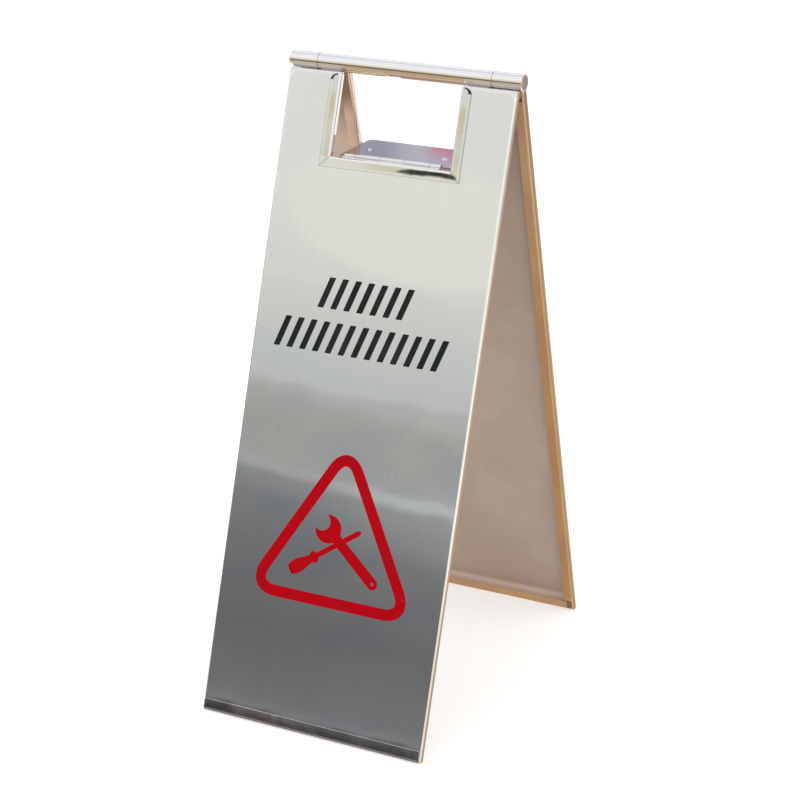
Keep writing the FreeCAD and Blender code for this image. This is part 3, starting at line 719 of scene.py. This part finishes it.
def polished_tube(name):
    """Drawn and polished tube, pale above and tan below in painted reflections, with fine draw lines and
    ringed tan end discs.

    One short painted glint shows under it, over the hand opening, and its lowest side is duller there.
    """
    material, tree, shader = metal(name)
    place = object_place(tree)
    marks = use_group(tree, HANDLING, "tube marks", Vector=place, Smear_Size=0.03)
    x, y, z = apart(tree, "tube axes", place)
    height = maths(tree, "above the axis", "SUBTRACT", z, AXIS_HEIGHT)

    out = maths(tree, "distance from the middle", "ABSOLUTE", x)
    # The lavender lines, the dark line, the tan side and the underside, grey beside the opening and tan over
    # it, are painted reflections.
    crown = product(tree, "crown line", zone(tree, "crown", height, 5.8 * MM, 7.1 * MM, 0.25 * MM), 0.75)
    second = product(tree, "second line", zone(tree, "shoulder", height, 4.4 * MM, 5.0 * MM, 0.4 * MM), 0.45)
    lines = maths(tree, "both lines", "MAXIMUM", crown, second)
    colour = mix_colours(tree, "pale upper side", lines, TUBE_STEEL, TUBE_LINE)
    over_opening = fade(tree, "over the opening", out, OPENING_HALF_WIDTH, OPENING_HALF_WIDTH + 2 * MM)
    under = mix_colours(tree, "underside", over_opening, TUBE_UNDER_GREY, TUBE_UNDER_TAN)
    lowest = fade(tree, "lowest part", height, -4.6 * MM, -1.9 * MM)
    side_tan = mix_colours(tree, "tan side", over_opening, TUBE_TAN, TUBE_ORANGE)
    tan = mix_colours(tree, "tan side to underside", lowest, side_tan, under)
    dark = ramp_between(tree, "darkest line", height, -0.4 * MM, 1.5 * MM)
    tan = mix_colours(tree, "tan or darkest", dark, tan, TUBE_DARK)
    lower = fade(tree, "below the pale side", height, 1.7 * MM, 4.0 * MM)
    colour = mix_colours(tree, "upper or lower", lower, colour, tan)
    # A painted glint under the tube, over the hand opening.
    streak_length = zone(tree, "streak length", x, -20 * MM, -4 * MM, 1.5 * MM)
    streak_height = fade(tree, "streak height", height, -5.2 * MM, -4.4 * MM)
    streak = product(tree, "painted glint below", streak_length, streak_height)
    colour = mix_colours(tree, "with the painted glint", streak, colour, TUBE_GLINT)
    disc = ramp_between(tree, "end disc", out, TUBE_END - 0.30 * MM, TUBE_END - 0.10 * MM)
    height_squared = product(tree, "height squared", height, height)
    squares = maths(tree, "both squared", "MULTIPLY_ADD", y, y, height_squared)
    radius = maths(tree, "out from the axis", "SQRT", squares)
    ringed = maths(tree, "facing rings", "SINE", product(tree, "ring pitch", radius, 9000.0))
    ringed = ramp_between(tree, "faint rings", ringed, -1.0, 1.0, 0.0, 0.35)
    disc_tone = mix_colours(tree, "ringed disc", ringed, DISC_TAN, DISC_PALE)
    # A painted highlight on the front side of the disc.
    front_side = ramp_between(tree, "painted highlight towards the front", y, -7 * MM, -2 * MM, 0.7, 0.0)
    disc_tone = mix_colours(tree, "disc front side", front_side, disc_tone, DISC_PALE)
    rim = zone(tree, "joint round the disc", radius, 6.5 * MM, 7.0 * MM, 0.2 * MM)
    disc_tone = mix_colours(tree, "disc joint", rim, disc_tone, TUBE_DARK)
    colour = mix_colours(tree, "disc tone", disc, colour, disc_tone)

    low_side = fade(tree, "lowest side", height, -5.8 * MM, -4.8 * MM)
    low_side = product(tree, "lowest side over the opening", low_side, over_opening)
    polish = mix_values(tree, "discs are duller", disc, 0.09, 0.3)
    polish = mix_values(tree, "lowest side is duller", low_side, polish, 0.4)
    rough = dulled(tree, marks, polish, 0.04, 0.05)
    along = stretched(tree, "draw lines run along x", place, (0.02, 1.0, 1.0))
    draw = use_group(tree, PEBBLED, "draw lines", Vector=along, Pebbles_Per_Metre=900.0)
    on_side = maths(tree, "off the discs", "SUBTRACT", 1.0, disc)
    relief = product(tree, "lines on the side", draw.outputs["Height"], on_side)
    dress(tree, shader, colour, rough, relief, 0.2, 0.00004)
    return material


def mirror_plate(name):
    """The spreader plate: mirror finish with a slow waviness and light use marks."""
    material, tree, shader = metal(name)
    place = object_place(tree)
    marks = use_group(tree, HANDLING, "plate marks", Vector=place, Smear_Size=0.025)
    colour = mix_colours(tree, "plate tone", marks.outputs["Smear"], *PLATE_TONES)
    rough = dulled(tree, marks, 0.05, 0.03, 0.05)
    skin = use_group(tree, PEBBLED, "plate waviness", Vector=place, Pebbles_Per_Metre=45.0)
    dress(tree, shader, colour, rough, skin.outputs["Height"], 0.3, 0.00012)
    return material


def hinge_steel(name):
    """Rolled hinge leaf and rivets: bright, a little grained along the hinge."""
    material, tree, shader = metal(name)
    place = object_place(tree)
    along = stretched(tree, "grain runs along x", place, (0.05, 1.0, 1.0))
    grain = use_group(tree, PEBBLED, "rolled grain", Vector=along, Pebbles_Per_Metre=1500.0)
    marks = use_group(tree, HANDLING, "hinge marks", Vector=place, Smear_Size=0.012)
    colour = mix_colours(tree, "hinge tone", grain.outputs["Height"], *HINGE_TONES)
    rough = dulled(tree, marks, 0.18, 0.08, 0.0)
    dress(tree, shader, colour, rough, grain.outputs["Height"], 0.25, 0.00003)
    return material


def turned_pin(name):
    """Turned steel with fine rings round the x axis."""
    material, tree, shader = metal(name)
    place = object_place(tree)
    rings_place = stretched(tree, "rings round x", place, (1.0, 0.02, 0.02))
    rings = use_group(tree, PEBBLED, "turning rings", Vector=rings_place, Pebbles_Per_Metre=3000.0)
    colour = mix_colours(tree, "pin tone", rings.outputs["Height"], *PIN_TONES)
    rough = maths(tree, "rings dull it", "MULTIPLY_ADD", rings.outputs["Height"], 0.12, 0.22)
    dress(tree, shader, colour, rough, rings.outputs["Height"], 0.3, 0.00004)
    return material


def weld_bead(name):
    """Weld bead: a row of ripples along x, with straw and blue heat colours darkened as painted shade, and
    bright crests as a painted highlight.
    """
    material, tree, shader = metal(name)
    place = object_place(tree)
    ripple = add(tree, "ShaderNodeTexWave", "bead ripples", bands_direction="X", wave_profile="SIN")
    feed(tree, ripple.inputs["Vector"], place)
    feed(tree, ripple.inputs["Scale"], 110.0)
    feed(tree, ripple.inputs["Distortion"], 1.5)
    tint = noise(tree, "heat tint patches", place, 140.0, 2.0, 0.5)
    # Heat colours darkened as painted shade of the gap under the tube; the bright crests are a painted
    # highlight.
    warm = mix_colours(tree, "straw to blue", tint, *WELD_TONES)
    colour = mix_colours(tree, "painted highlight on ripple crests", ripple.outputs["Fac"], warm, WELD_CREST_HIGHLIGHT)
    rough = maths(tree, "crests are smooth", "MULTIPLY_ADD", ripple.outputs["Fac"], -0.12, 0.42)
    dress(tree, shader, colour, rough, ripple.outputs["Fac"], 0.8, 0.00025)
    return material


def vinyl_film(name, tones):
    """Cut self-adhesive film: satin, faintly pebbled, a little uneven in tone."""
    material, tree, shader = new_material(name)
    shader.inputs["Metallic"].default_value = 0.0
    shader.inputs["Specular IOR Level"].default_value = 0.04
    place = object_place(tree)
    marks = use_group(tree, HANDLING, "film marks", Vector=place, Smear_Size=0.03)
    skin = use_group(tree, PEBBLED, "film skin", Vector=place, Pebbles_Per_Metre=1400.0)
    tone = mix_colours(tree, "film tone", marks.outputs["Smear"], *tones)
    scuffed = tuple(min(1.0, 1.4 * level + 0.01) for level in tones[1])
    tone = mix_colours(tree, "scuffs", marks.outputs["Scratch"], tone, scuffed)
    rough = maths(tree, "smears dull it", "MULTIPLY_ADD", marks.outputs["Smear"], 0.12, 0.38)
    dress(tree, shader, tone, rough, skin.outputs["Height"], 0.3, 0.00005)
    return material


def finish_cad_nodes():
    """Gives each carried-over part its finish."""
    leaf_front = brushed_leaf("front_leaf_brushed", -1)
    leaf_rear = brushed_leaf("rear_leaf_brushed", 1)
    sides = {"front": -1, "rear": 1}
    trims = {leaf: opening_trim(leaf + "_trim_buffed", side) for leaf, side in sides.items()}
    strips = {leaf: bottom_strip(leaf + "_strip_polished", side) for leaf, side in sides.items()}
    tube = polished_tube("tube_polished")
    plate = mirror_plate("plate_mirror")
    hinge = hinge_steel("hinge_rolled")
    pin = turned_pin("pin_turned")
    weld = weld_bead("weld_tinted")
    finishes = {"front_panel": leaf_front, "rear_panel": leaf_rear, "spreader_plate": plate}
    for name in frame["nodes"]:
        leaf = name.split("_")[0]
        if "_opening_trim_" in name:
            finishes[name] = trims[leaf]
        elif "_bottom_strip" in name:
            finishes[name] = strips[leaf]
        elif name.startswith(("grip_barrel", "end_knuckle", "end_plug")):
            finishes[name] = tube
        elif name.startswith(("hinge_spigot", "spreader_hinge_pin")):
            finishes[name] = pin
        elif "_weld_" in name:
            finishes[name] = weld
        elif name.startswith(("spreader_hinge_fixed", "spreader_hinge_moving", "spreader_rivets")):
            finishes[name] = hinge
    for name, part in frame["nodes"].items():
        part.data.materials[0] = finishes[name]


# ---------------------------------------------------------------- vinyl on the front leaf


FILM = 0.12 * MM
FILM_SUNK = 0.02 * MM


def on_front_leaf(x=0.0, s=0.0, turn=0.0):
    """The place on the front leaf's face at x across and s down it, turned in its plane."""
    lean = Matrix.Rotation(math.pi / 2 - LEAF_LEAN, 4, "X")
    out = Matrix.Translation((x, -s, FACE_OUT - FILM_SUNK)) @ Matrix.Rotation(turn, 4, "Z")
    return Matrix.Translation((0.0, 0.0, AXIS_HEIGHT)) @ lean @ out


def film_piece(name, bm, place, material, thickness=FILM):
    """Gives flat faces the film's thickness, puts them on the leaf and makes the piece.

    The faces are put in the order of their corners, so that each run gives the same list.
    """
    bmesh.ops.remove_doubles(bm, verts=bm.verts, dist=0.01 * MM)
    bmesh.ops.recalc_face_normals(bm, faces=bm.faces)
    if sum(face.normal.z for face in bm.faces) < 0:
        bmesh.ops.reverse_faces(bm, faces=bm.faces)
    bmesh.ops.solidify(bm, geom=bm.faces[:], thickness=-thickness - FILM_SUNK)
    bmesh.ops.recalc_face_normals(bm, faces=bm.faces)
    bmesh.ops.transform(bm, matrix=place, verts=bm.verts)
    bm.verts.index_update()
    in_order = sorted(bm.faces, key=lambda face: [vert.index for vert in face.verts])
    ranks = {face: rank for rank, face in enumerate(in_order)}
    bm.faces.sort(key=lambda face: ranks[face])
    piece = mesh_object(name, bm, material)
    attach(piece, "front_leaf")


def rounded_corners(bm, verts, offset, segments):
    """Rounds flat corners by a vertex bevel."""
    bmesh.ops.bevel(
        bm,
        geom=verts,
        offset=offset,
        offset_type="OFFSET",
        segments=segments,
        profile=0.5,
        affect="VERTICES",
        material=-1,
    )


def triangle_ring(red):
    """The rounded triangular ring of the sign's figure."""
    height = 162 * MM
    half_base = 92 * MM
    band = 10.6 * MM
    base_s = 499.5 * MM
    corner = 36 * MM
    bm = bmesh.new()
    radius = height * 2 / 3
    bmesh.ops.create_circle(bm, cap_ends=True, segments=3, radius=radius)
    squeeze = half_base / (radius * math.cos(math.radians(30)))
    bmesh.ops.scale(bm, vec=(squeeze, 1.0, 1.0), verts=bm.verts)
    rounded_corners(bm, bm.verts[:], corner, 16)
    made = bmesh.ops.inset_region(
        bm, faces=bm.faces[:], thickness=band, use_boundary=True, use_even_offset=True
    )
    ring = set(made["faces"])
    middle = [face for face in bm.faces if face not in ring]
    bmesh.ops.delete(bm, geom=middle, context="FACES")
    middle_s = base_s - radius / 2
    film_piece("sign_ring", bm, on_front_leaf(0.5 * MM, middle_s), red)


def spanner_head(bm):
    """The open jaw: an outer arc and an inner arc that meet at the two tips, bridged."""
    head_radius = 13.4 * MM
    tip = Vector((10.4 * MM, 8.6 * MM, 0.0))
    jaw_centre = Vector((9.6 * MM, 0.0, 0.0))
    steps = 28
    outer_angle = 2 * (math.pi - math.atan2(tip.y, tip.x))
    inner_angle = 2 * (math.pi - math.atan2(tip.y, tip.x - jaw_centre.x))
    loops = []
    for centre, angle in ((Vector((0.0, 0.0, 0.0)), outer_angle), (jaw_centre, inner_angle)):
        start = bm.verts.new(tip)
        before = set(bm.edges)
        bmesh.ops.spin(bm, geom=[start], cent=centre, axis=(0, 0, 1), angle=angle, steps=steps)
        loops.append([edge for edge in bm.edges if edge not in before])
    bmesh.ops.bridge_loops(bm, edges=loops[0] + loops[1])


def spanner_shaft(bm):
    """A round-ended shaft with a hanging hole: a flat ring, one half of it drawn out to the head."""
    end = Vector((-66.5 * MM, 0.0, 0.0))
    end_radius = 5.5 * MM
    neck_radius = 5.0 * MM
    hole_radius = 1.5 * MM
    reach = 57 * MM
    centre = Matrix.Translation(end)
    outer = bmesh.ops.create_circle(bm, segments=40, radius=end_radius, matrix=centre)["verts"]
    hole = bmesh.ops.create_circle(bm, segments=40, radius=hole_radius, matrix=centre)["verts"]
    rims = list(dict.fromkeys(edge for vert in outer + hole for edge in vert.link_edges))
    bmesh.ops.bridge_loops(bm, edges=rims)
    inner_half = [vert for vert in outer if vert.co.x > end.x - 0.01 * MM]
    bmesh.ops.scale(bm, vec=(1.0, neck_radius / end_radius, 1.0), verts=inner_half)
    bmesh.ops.translate(bm, vec=(reach, 0.0, 0.0), verts=inner_half)


def spanner(red):
    """The spanner of the figure."""
    bm = bmesh.new()
    spanner_head(bm)
    place = on_front_leaf(-9.3 * MM, 427 * MM, math.radians(141))
    film_piece("sign_spanner_jaw", bm, place, red)
    bm = bmesh.new()
    spanner_shaft(bm)
    film_piece("sign_spanner_shaft", bm, place, red, 0.8 * FILM)


def screwdriver(red):
    """The screwdriver of the figure: a bulbous handle with a collar, and a thin blade."""
    half_outline = (
        (0.0, 4.0),
        (3.0, 6.2),
        (12.0, 6.6),
        (26.0, 3.3),
        (28.0, 5.8),
        (31.0, 5.4),
        (32.5, 2.5),
        (79.5, 2.5),
        (83.0, 1.2),
    )
    bm = bmesh.new()
    upper = [bm.verts.new((d * MM, w * MM, 0.0)) for d, w in half_outline]
    lower = [bm.verts.new((d * MM, -w * MM, 0.0)) for d, w in reversed(half_outline)]
    bm.faces.new(lower + upper)
    blunt = [vert for vert in bm.verts if vert.co.x < 27 * MM]
    rounded_corners(bm, blunt, 2.6 * MM, 5)
    place = on_front_leaf(-43.5 * MM, 472 * MM, math.radians(35.5))
    film_piece("sign_screwdriver", bm, place, red, 0.6 * FILM)


def stripe_row(name, stripes, middle_x, middle_s, ink):
    """A row of plain slanted stripes."""
    pitch = 13.5 * MM
    width = 6.2 * MM
    height = 29 * MM
    slant = math.tan(math.radians(18))
    bm = bmesh.new()
    for number in range(stripes):
        shift = (number - (stripes - 1) / 2) * pitch
        made = bmesh.ops.create_grid(bm, x_segments=1, y_segments=1, size=0.5)["verts"]
        bmesh.ops.scale(bm, vec=(width, height, 1.0), verts=made)
        shear = Matrix(((1, slant, 0, 0), (0, 1, 0, 0), (0, 0, 1, 0), (0, 0, 0, 1)))
        bmesh.ops.transform(bm, matrix=Matrix.Translation((shift, 0, 0)) @ shear, verts=made)
    rounded_corners(bm, bm.verts[:], 0.8 * MM, 4)
    film_piece(name, bm, on_front_leaf(middle_x, middle_s), ink)


def lay_vinyl():
    """All film on the front leaf."""
    red = vinyl_film("vinyl_red", VINYL_RED)
    ink = vinyl_film("vinyl_ink", VINYL_INK)
    triangle_ring(red)
    spanner(red)
    screwdriver(red)
    stripe_row("sign_upper_stripes", 7, -4.5 * MM, 211 * MM, ink)
    stripe_row("sign_lower_stripes", 13, -4 * MM, 252 * MM, ink)


# ---------------------------------------------------------------- stage, lamps and camera


def white_background(tree, name):
    """1 for rays that see the background: from the camera, from gloss and through glass."""
    path = add(tree, "ShaderNodeLightPath", name)
    straight = path.outputs["Is Camera Ray"]
    seen = maths(tree, name + " straight or glossy", "MAXIMUM", straight, path.outputs["Is Glossy Ray"])
    return maths(tree, name + " or through", "MAXIMUM", seen, path.outputs["Is Transmission Ray"])


def pale_floor():
    """A plain pale floor, lifted to white where it is seen, that keeps the shadow."""
    half_size = 14.0
    bm = bmesh.new()
    bmesh.ops.create_grid(bm, x_segments=4, y_segments=4, size=half_size)
    material = bpy.data.materials.new("floor_pale")
    tree = bare_tree(material)
    output = add(tree, "ShaderNodeOutputMaterial", "floor out")
    matt = add(tree, "ShaderNodeBsdfDiffuse", "matt floor")
    matt.inputs["Color"].default_value = FLOOR_GREY
    lift = add(tree, "ShaderNodeEmission", "lift to white")
    seen = white_background(tree, "floor")
    feed(tree, lift.inputs["Strength"], product(tree, "lift where seen", seen, 0.44))
    both = add(tree, "ShaderNodeAddShader", "floor surface")
    tree.links.new(matt.outputs["BSDF"], both.inputs[0])
    tree.links.new(lift.outputs["Emission"], both.inputs[1])
    tree.links.new(both.outputs["Shader"], output.inputs["Surface"])
    mesh_object("floor", bm, material)


def soft_world():
    """Even light from all round, with a white background where it is seen."""
    world = bpy.data.worlds.new("studio")
    bpy.context.scene.world = world
    tree = bare_tree(world)
    output = add(tree, "ShaderNodeOutputWorld", "world out")
    light = add(tree, "ShaderNodeBackground", "even light")
    light.inputs["Color"].default_value = (1.0, 1.0, 1.0, 1.0)
    seen = white_background(tree, "world")
    feed(tree, light.inputs["Strength"], mix_values(tree, "level", seen, 0.85, 1.0))
    tree.links.new(light.outputs["Background"], output.inputs["Surface"])


def camera_direction():
    """The direction from what the camera looks at to the camera."""
    flat = math.cos(CAMERA_ELEVATION)
    across = math.sin(CAMERA_AZIMUTH) * flat
    return Vector((across, -math.cos(CAMERA_AZIMUTH) * flat, math.sin(CAMERA_ELEVATION)))


def height_mirrored_at(down):
    """The height on the front screen that the front face mirrors to the camera, at down from the axis."""
    outwards = Vector((0.0, -math.cos(LEAF_LEAN), math.sin(LEAF_LEAN)))
    downwards = Vector((0.0, -math.sin(LEAF_LEAN), -math.cos(LEAF_LEAN)))
    point = Vector((0.0, 0.0, AXIS_HEIGHT)) + downwards * down + outwards * FACE_OUT
    camera_place = CAMERA_AIM + camera_direction() * CAMERA_DISTANCE
    ray = (point - camera_place).normalized().reflect(outwards)
    square = ray.xy.dot(ray.xy)
    half_linear = point.xy.dot(ray.xy)
    constant = point.xy.dot(point.xy) - SCREEN_RADIUS**2
    reach = (math.sqrt(half_linear**2 - square * constant) - half_linear) / square
    return (point + ray * reach).z


def levels_by_height(tree, height, steps):
    """Grey levels at rising heights, as the colour of a ramp."""
    ramp = add(tree, "ShaderNodeValToRGB", "levels by height")
    ramp.color_ramp.interpolation = "LINEAR"
    elements = ramp.color_ramp.elements
    while len(elements) < len(steps):
        elements.new(0.5)
    for element, (at, colour) in zip(elements, steps):
        element.position = at / SCREEN_HEIGHT
        element.color = (*colour, 1.0)
    feed(tree, ramp.inputs["Fac"], maths(tree, "share of the height", "DIVIDE", height, SCREEN_HEIGHT))
    return ramp.outputs["Color"]


def soft_spot(tree, name, x, z, centre, half, slope, soft):
    """A soft-edged oval on a screen, leaning by slope."""
    across = maths(tree, name + " from its middle", "SUBTRACT", x, centre[0])
    across = maths(tree, name + " across", "DIVIDE", across, half[0])
    lean = maths(tree, name + " lean", "MULTIPLY_ADD", x, -slope, z)
    rise = maths(tree, name + " above its middle", "SUBTRACT", lean, centre[1] - slope * centre[0])
    up = maths(tree, name + " up", "DIVIDE", rise, half[1])
    wide = product(tree, name + " wide", across, across)
    squares = maths(tree, name + " squared", "MULTIPLY_ADD", up, up, wide)
    return fade(tree, name + " edge", squares, 1.0 - soft, 1.0 + soft)


def upright_noise(tree, name, stretch_name, place, along, scale, detail, roughness):
    """A noise drawn out or flattened upright, by how much faster it changes along z."""
    drawn = stretched(tree, stretch_name, place, (1.0, 1.0, along))
    return noise(tree, name, drawn, scale, detail, roughness)


def screen_material(name, steps, paint):
    """A plain graded screen: grey levels by height, with what paint adds to them."""
    material = bpy.data.materials.new(name)
    tree = bare_tree(material)
    output = add(tree, "ShaderNodeOutputMaterial", "screen out")
    glow = add(tree, "ShaderNodeEmission", "screen level")
    place = object_place(tree)
    x, y, z = apart(tree, "screen axes", place)
    at_middle = 1.0 + SCREEN_FAN * SCREEN_MIDDLE
    fan = maths(tree, "levels fan out from the left", "MULTIPLY_ADD", x, -SCREEN_FAN, at_middle)
    step_tilt = product(tree, "tilt of the step", zone(tree, "about the step", z, 0.56, 0.74, 0.06), 0.085)
    from_middle = maths(tree, "from the middle", "ADD", x, -SCREEN_MIDDLE)
    tilt = product(tree, "tilt about the middle", from_middle, step_tilt)
    height = maths(tree, "levelled height", "MULTIPLY_ADD", z, fan, tilt)
    broad = upright_noise(tree, "broad waves", "long waves", place, 3.0, 1.3, 2.0, 0.5)
    fine = upright_noise(tree, "ragged edges", "short waves", place, 0.5, 9.0, 2.0, 0.6)
    teeth = upright_noise(tree, "teeth of the edges", "upright teeth", place, 0.15, 55.0, 2.0, 0.5)
    waves = maths(tree, "broad part", "MULTIPLY_ADD", broad, 0.04, -0.02)
    waves = maths(tree, "centred", "SUBTRACT", waves, 0.0225)
    waves = maths(tree, "ragged part", "MULTIPLY_ADD", fine, 0.045, waves)
    waves = maths(tree, "centred teeth", "SUBTRACT", waves, 0.008)
    waves = maths(tree, "toothed part", "MULTIPLY_ADD", teeth, 0.016, waves)
    height = maths(tree, "height with waves", "ADD", height, waves)
    blotch = upright_noise(tree, "blotches", "flat blotches", place, 1.6, 5.0, 3.0, 0.6)
    blotch = ramp_between(tree, "cool or warm", blotch, 0.36, 0.64)
    tint = mix_colours(tree, "tint of a blotch", blotch, *BLOTCH_TINTS)
    share = ramp_between(tree, "strongest low down", z, 0.70, 1.10, 1.0, 0.3)
    levels = levels_by_height(tree, height, steps)
    levels = mix_colours(tree, "blotched levels", share, levels, tint, "MULTIPLY")
    colour = paint(tree, x, z, height, levels)
    tree.links.new(colour, glow.inputs["Color"])
    tree.links.new(glow.outputs["Emission"], output.inputs["Surface"])
    return material


def front_screen_paint(tree, x, z, height, colour):
    """The front screen: a cream oval near the top, two faint edges below it, and a light band at its step.

    A small dark gap with a light fleck in it lies near the top, and the right side is a little lighter.
    """
    cream = soft_spot(tree, "cream oval", x, z, (-1.27, 1.30), (0.27, 0.155), 0.0, 0.2)
    cream = product(tree, "share of cream", cream, 0.75)
    colour = mix_colours(tree, "cream", cream, colour, SCREEN_CREAM)
    beside = maths(tree, "beside the middle", "ADD", x, -SCREEN_MIDDLE)
    edge = maths(tree, "second edge falls to the right", "MULTIPLY_ADD", beside, 0.06, height)
    darker = fade(tree, "below the second edge", edge, 0.836, 0.841)
    darker = product(tree, "fades lower down", darker, ramp_between(tree, "down to its end", z, 0.70, 0.80))
    colour = mix_colours(tree, "brownish band", darker, colour, SCREEN_BROWN, "MULTIPLY")
    lower = fade(tree, "below the last edge", height, 0.596, 0.601)
    down = ramp_between(tree, "down from the last edge", z, 0.50, 0.60)
    lower = product(tree, "last edge fades", lower, down)
    lower = product(tree, "last edge at the left", lower, fade(tree, "left part", x, -1.36, -1.24))
    colour = mix_colours(tree, "darker left", lower, colour, SCREEN_BLUE, "MULTIPLY")
    right = ramp_between(tree, "lighter to the right", x, -1.35, -0.95)
    middle = zone(tree, "middle height", z, 0.50, 0.66, 0.07)
    middle = maths(tree, "most at middle height", "MULTIPLY_ADD", middle, 0.12, 0.025)
    right = product(tree, "right share", right, middle)
    colour = mix_colours(tree, "right side", right, colour, SCREEN_GREY)
    step_band = zone(tree, "step band", height, 0.641, 0.664, 0.008)
    grows = ramp_between(tree, "grows to the right", x, -1.36, -1.10, 0.1, 0.65)
    glint = product(tree, "light step", step_band, grows)
    colour = mix_colours(tree, "light band", glint, colour, SCREEN_BAND)
    gap = soft_spot(tree, "dark gap", x, z, (-1.271, 1.4150), (0.064, 0.0120), 0.19, 0.12)
    foot = maths(tree, "level of the gap's foot", "MULTIPLY_ADD", x, -0.158, z)
    gap = product(tree, "gap above its foot", gap, ramp_between(tree, "foot", foot, 1.6137, 1.6147))
    fleck = soft_spot(tree, "light fleck", x, z, (-1.255, 1.4135), (0.006, 0.0028), -0.2, 0.4)
    dark = mix_colours(tree, "gap with its fleck", fleck, GAP_DARK, GAP_FLECK)
    return mix_colours(tree, "gap", gap, colour, dark)


def back_screen_paint(tree, x, z, height, colour):
    """The back screen: blue-grey to violet-grey from left to right, with pale streaks and a red spot."""
    right = ramp_between(tree, "left to right", x, -1.41, -1.31)
    band = mix_colours(tree, "blue-grey or grey", right, BACK_BLUE, BACK_GREY)
    violet = ramp_between(tree, "higher", z, 1.428, 1.440, 0.0, 0.85)
    violet = product(tree, "higher and right", violet, ramp_between(tree, "right part", x, -1.38, -1.30))
    band = mix_colours(tree, "grey or violet-grey", violet, band, BACK_VIOLET)
    place = object_place(tree)
    streaks = upright_noise(tree, "level streaks", "long and level", place, 14.0, 4.0, 2.0, 0.6)
    streaks = ramp_between(tree, "pale streaks", streaks, 0.48, 0.66, 0.0, 0.6)
    band = mix_colours(tree, "streaked", streaks, band, BACK_STREAK)
    red = soft_spot(tree, "red spot", x, z, (-1.250, 1.420), (0.056, 0.0200), 0.17, 0.3)
    band = mix_colours(tree, "with the red spot", red, band, BACK_RED)
    tall = zone(tree, "height of the tones", z, 1.30, 1.56, 0.05)
    wide = zone(tree, "width of the tones", x, -1.75, -0.95, 0.15)
    return mix_colours(tree, "tones on the band", product(tree, "tones", tall, wide), colour, band)


def reflected_screen(name, start_degrees, end_degrees, steps, paint):
    """An upright curved screen outside the view, which the polished steel reflects."""
    bm = bmesh.new()
    foot = bm.verts.new((SCREEN_RADIUS, 0.0, 0.0))
    head = bm.verts.new((SCREEN_RADIUS, 0.0, SCREEN_HEIGHT))
    edge = bm.edges.new((foot, head))
    bmesh.ops.spin(
        bm,
        geom=[foot, head, edge],
        cent=(0, 0, 0),
        axis=(0, 0, 1),
        angle=math.radians(end_degrees - start_degrees),
        steps=64,
    )
    turn = Matrix.Rotation(math.radians(start_degrees), 4, "Z")
    bmesh.ops.transform(bm, matrix=turn, verts=bm.verts)
    screen = mesh_object(name, bm, screen_material(name + "_levels", steps, paint))
    screen.visible_camera = False
    screen.visible_diffuse = False
    screen.visible_shadow = False
    screen.visible_transmission = False


def soft_lamp(name, place, size, watts, tint):
    """A square soft box that looks at the middle of the sign."""
    data = bpy.data.lights.new(name, "AREA")
    data.shape = "SQUARE"
    data.size = size
    data.energy = watts
    data.color = tint
    lamp = new_object(name, data)
    lamp.location = place
    lamp.rotation_mode = "QUATERNION"
    lamp.rotation_quaternion = (LAMP_AIM - Vector(place)).to_track_quat("-Z", "Y")
    lamp.visible_glossy = False


def set_stage():
    """Floor, world, screens and lamps."""
    pale_floor()
    soft_world()
    # how far down the leaf its face mirrors each level, in mm, and that level
    face_levels = (
        (661, (0.020, 0.020, 0.022)),
        (613.5, (0.050, 0.050, 0.051)),
        (610.5, (0.300, 0.295, 0.305)),
        (601.5, (0.225, 0.225, 0.235)),
        (590, (0.212, 0.212, 0.220)),
        (560, (0.187, 0.187, 0.195)),
        (530, (0.170, 0.171, 0.182)),
        (500, (0.192, 0.192, 0.202)),
        (450, (0.213, 0.217, 0.229)),
        (420, (0.250, 0.258, 0.272)),
        (402.5, (0.300, 0.310, 0.325)),
        (393, (0.320, 0.332, 0.345)),
        (390.5, (0.450, 0.460, 0.468)),
        (367, (0.440, 0.444, 0.440)),
        (345, (0.468, 0.468, 0.460)),
        (326.5, (0.510, 0.508, 0.495)),
        (314, (0.535, 0.537, 0.525)),
        (300, (0.570, 0.578, 0.575)),
        (297.5, (0.660, 0.675, 0.668)),
        (275, (0.700, 0.712, 0.700)),
        (230, (0.775, 0.788, 0.770)),
        (203.5, (0.812, 0.824, 0.800)),
        (199, (0.858, 0.860, 0.830)),
        (160, (0.900, 0.895, 0.860)),
        (93.5, (0.945, 0.940, 0.915)),
        (-54, (0.950, 0.945, 0.920)),
    )
    front_steps = [(height_mirrored_at(down * MM), level) for down, level in face_levels]
    reflected_screen("front_screen", -222, -74, front_steps, front_screen_paint)
    back_steps = (
        (0.00, (0.30, 0.30, 0.31)),
        (0.60, (0.45, 0.45, 0.47)),
        (1.00, (0.65, 0.65, 0.67)),
        (1.40, (0.80, 0.80, 0.81)),
        (1.80, (0.92, 0.92, 0.92)),
    )
    reflected_screen("back_screen", 20, 137, back_steps, back_screen_paint)
    soft_lamp("key_lamp", (-1.8, -2.0, 3.0), size=2.2, watts=16.0, tint=(1.0, 0.99, 0.97))
    soft_lamp("fill_lamp", (2.4, 1.2, 2.6), size=2.0, watts=9.0, tint=(0.97, 0.98, 1.0))


def set_camera():
    """The camera, at its place, with its roll and lens."""
    back = camera_direction()
    data = bpy.data.cameras.new("camera")
    data.lens = 97.13
    data.sensor_width = 36.0
    data.clip_start = 0.05
    data.clip_end = 60.0
    camera = new_object("camera", data)
    camera.location = CAMERA_AIM + back * CAMERA_DISTANCE
    camera.rotation_mode = "QUATERNION"
    camera.rotation_quaternion = (-back).to_track_quat("-Z", "Y") @ Quaternion((0, 0, 1), CAMERA_ROLL)
    bpy.context.scene.camera = camera
    bpy.context.scene.view_settings.view_transform = "Standard"


finish_cad_nodes()
lay_vinyl()
set_stage()
set_camera()
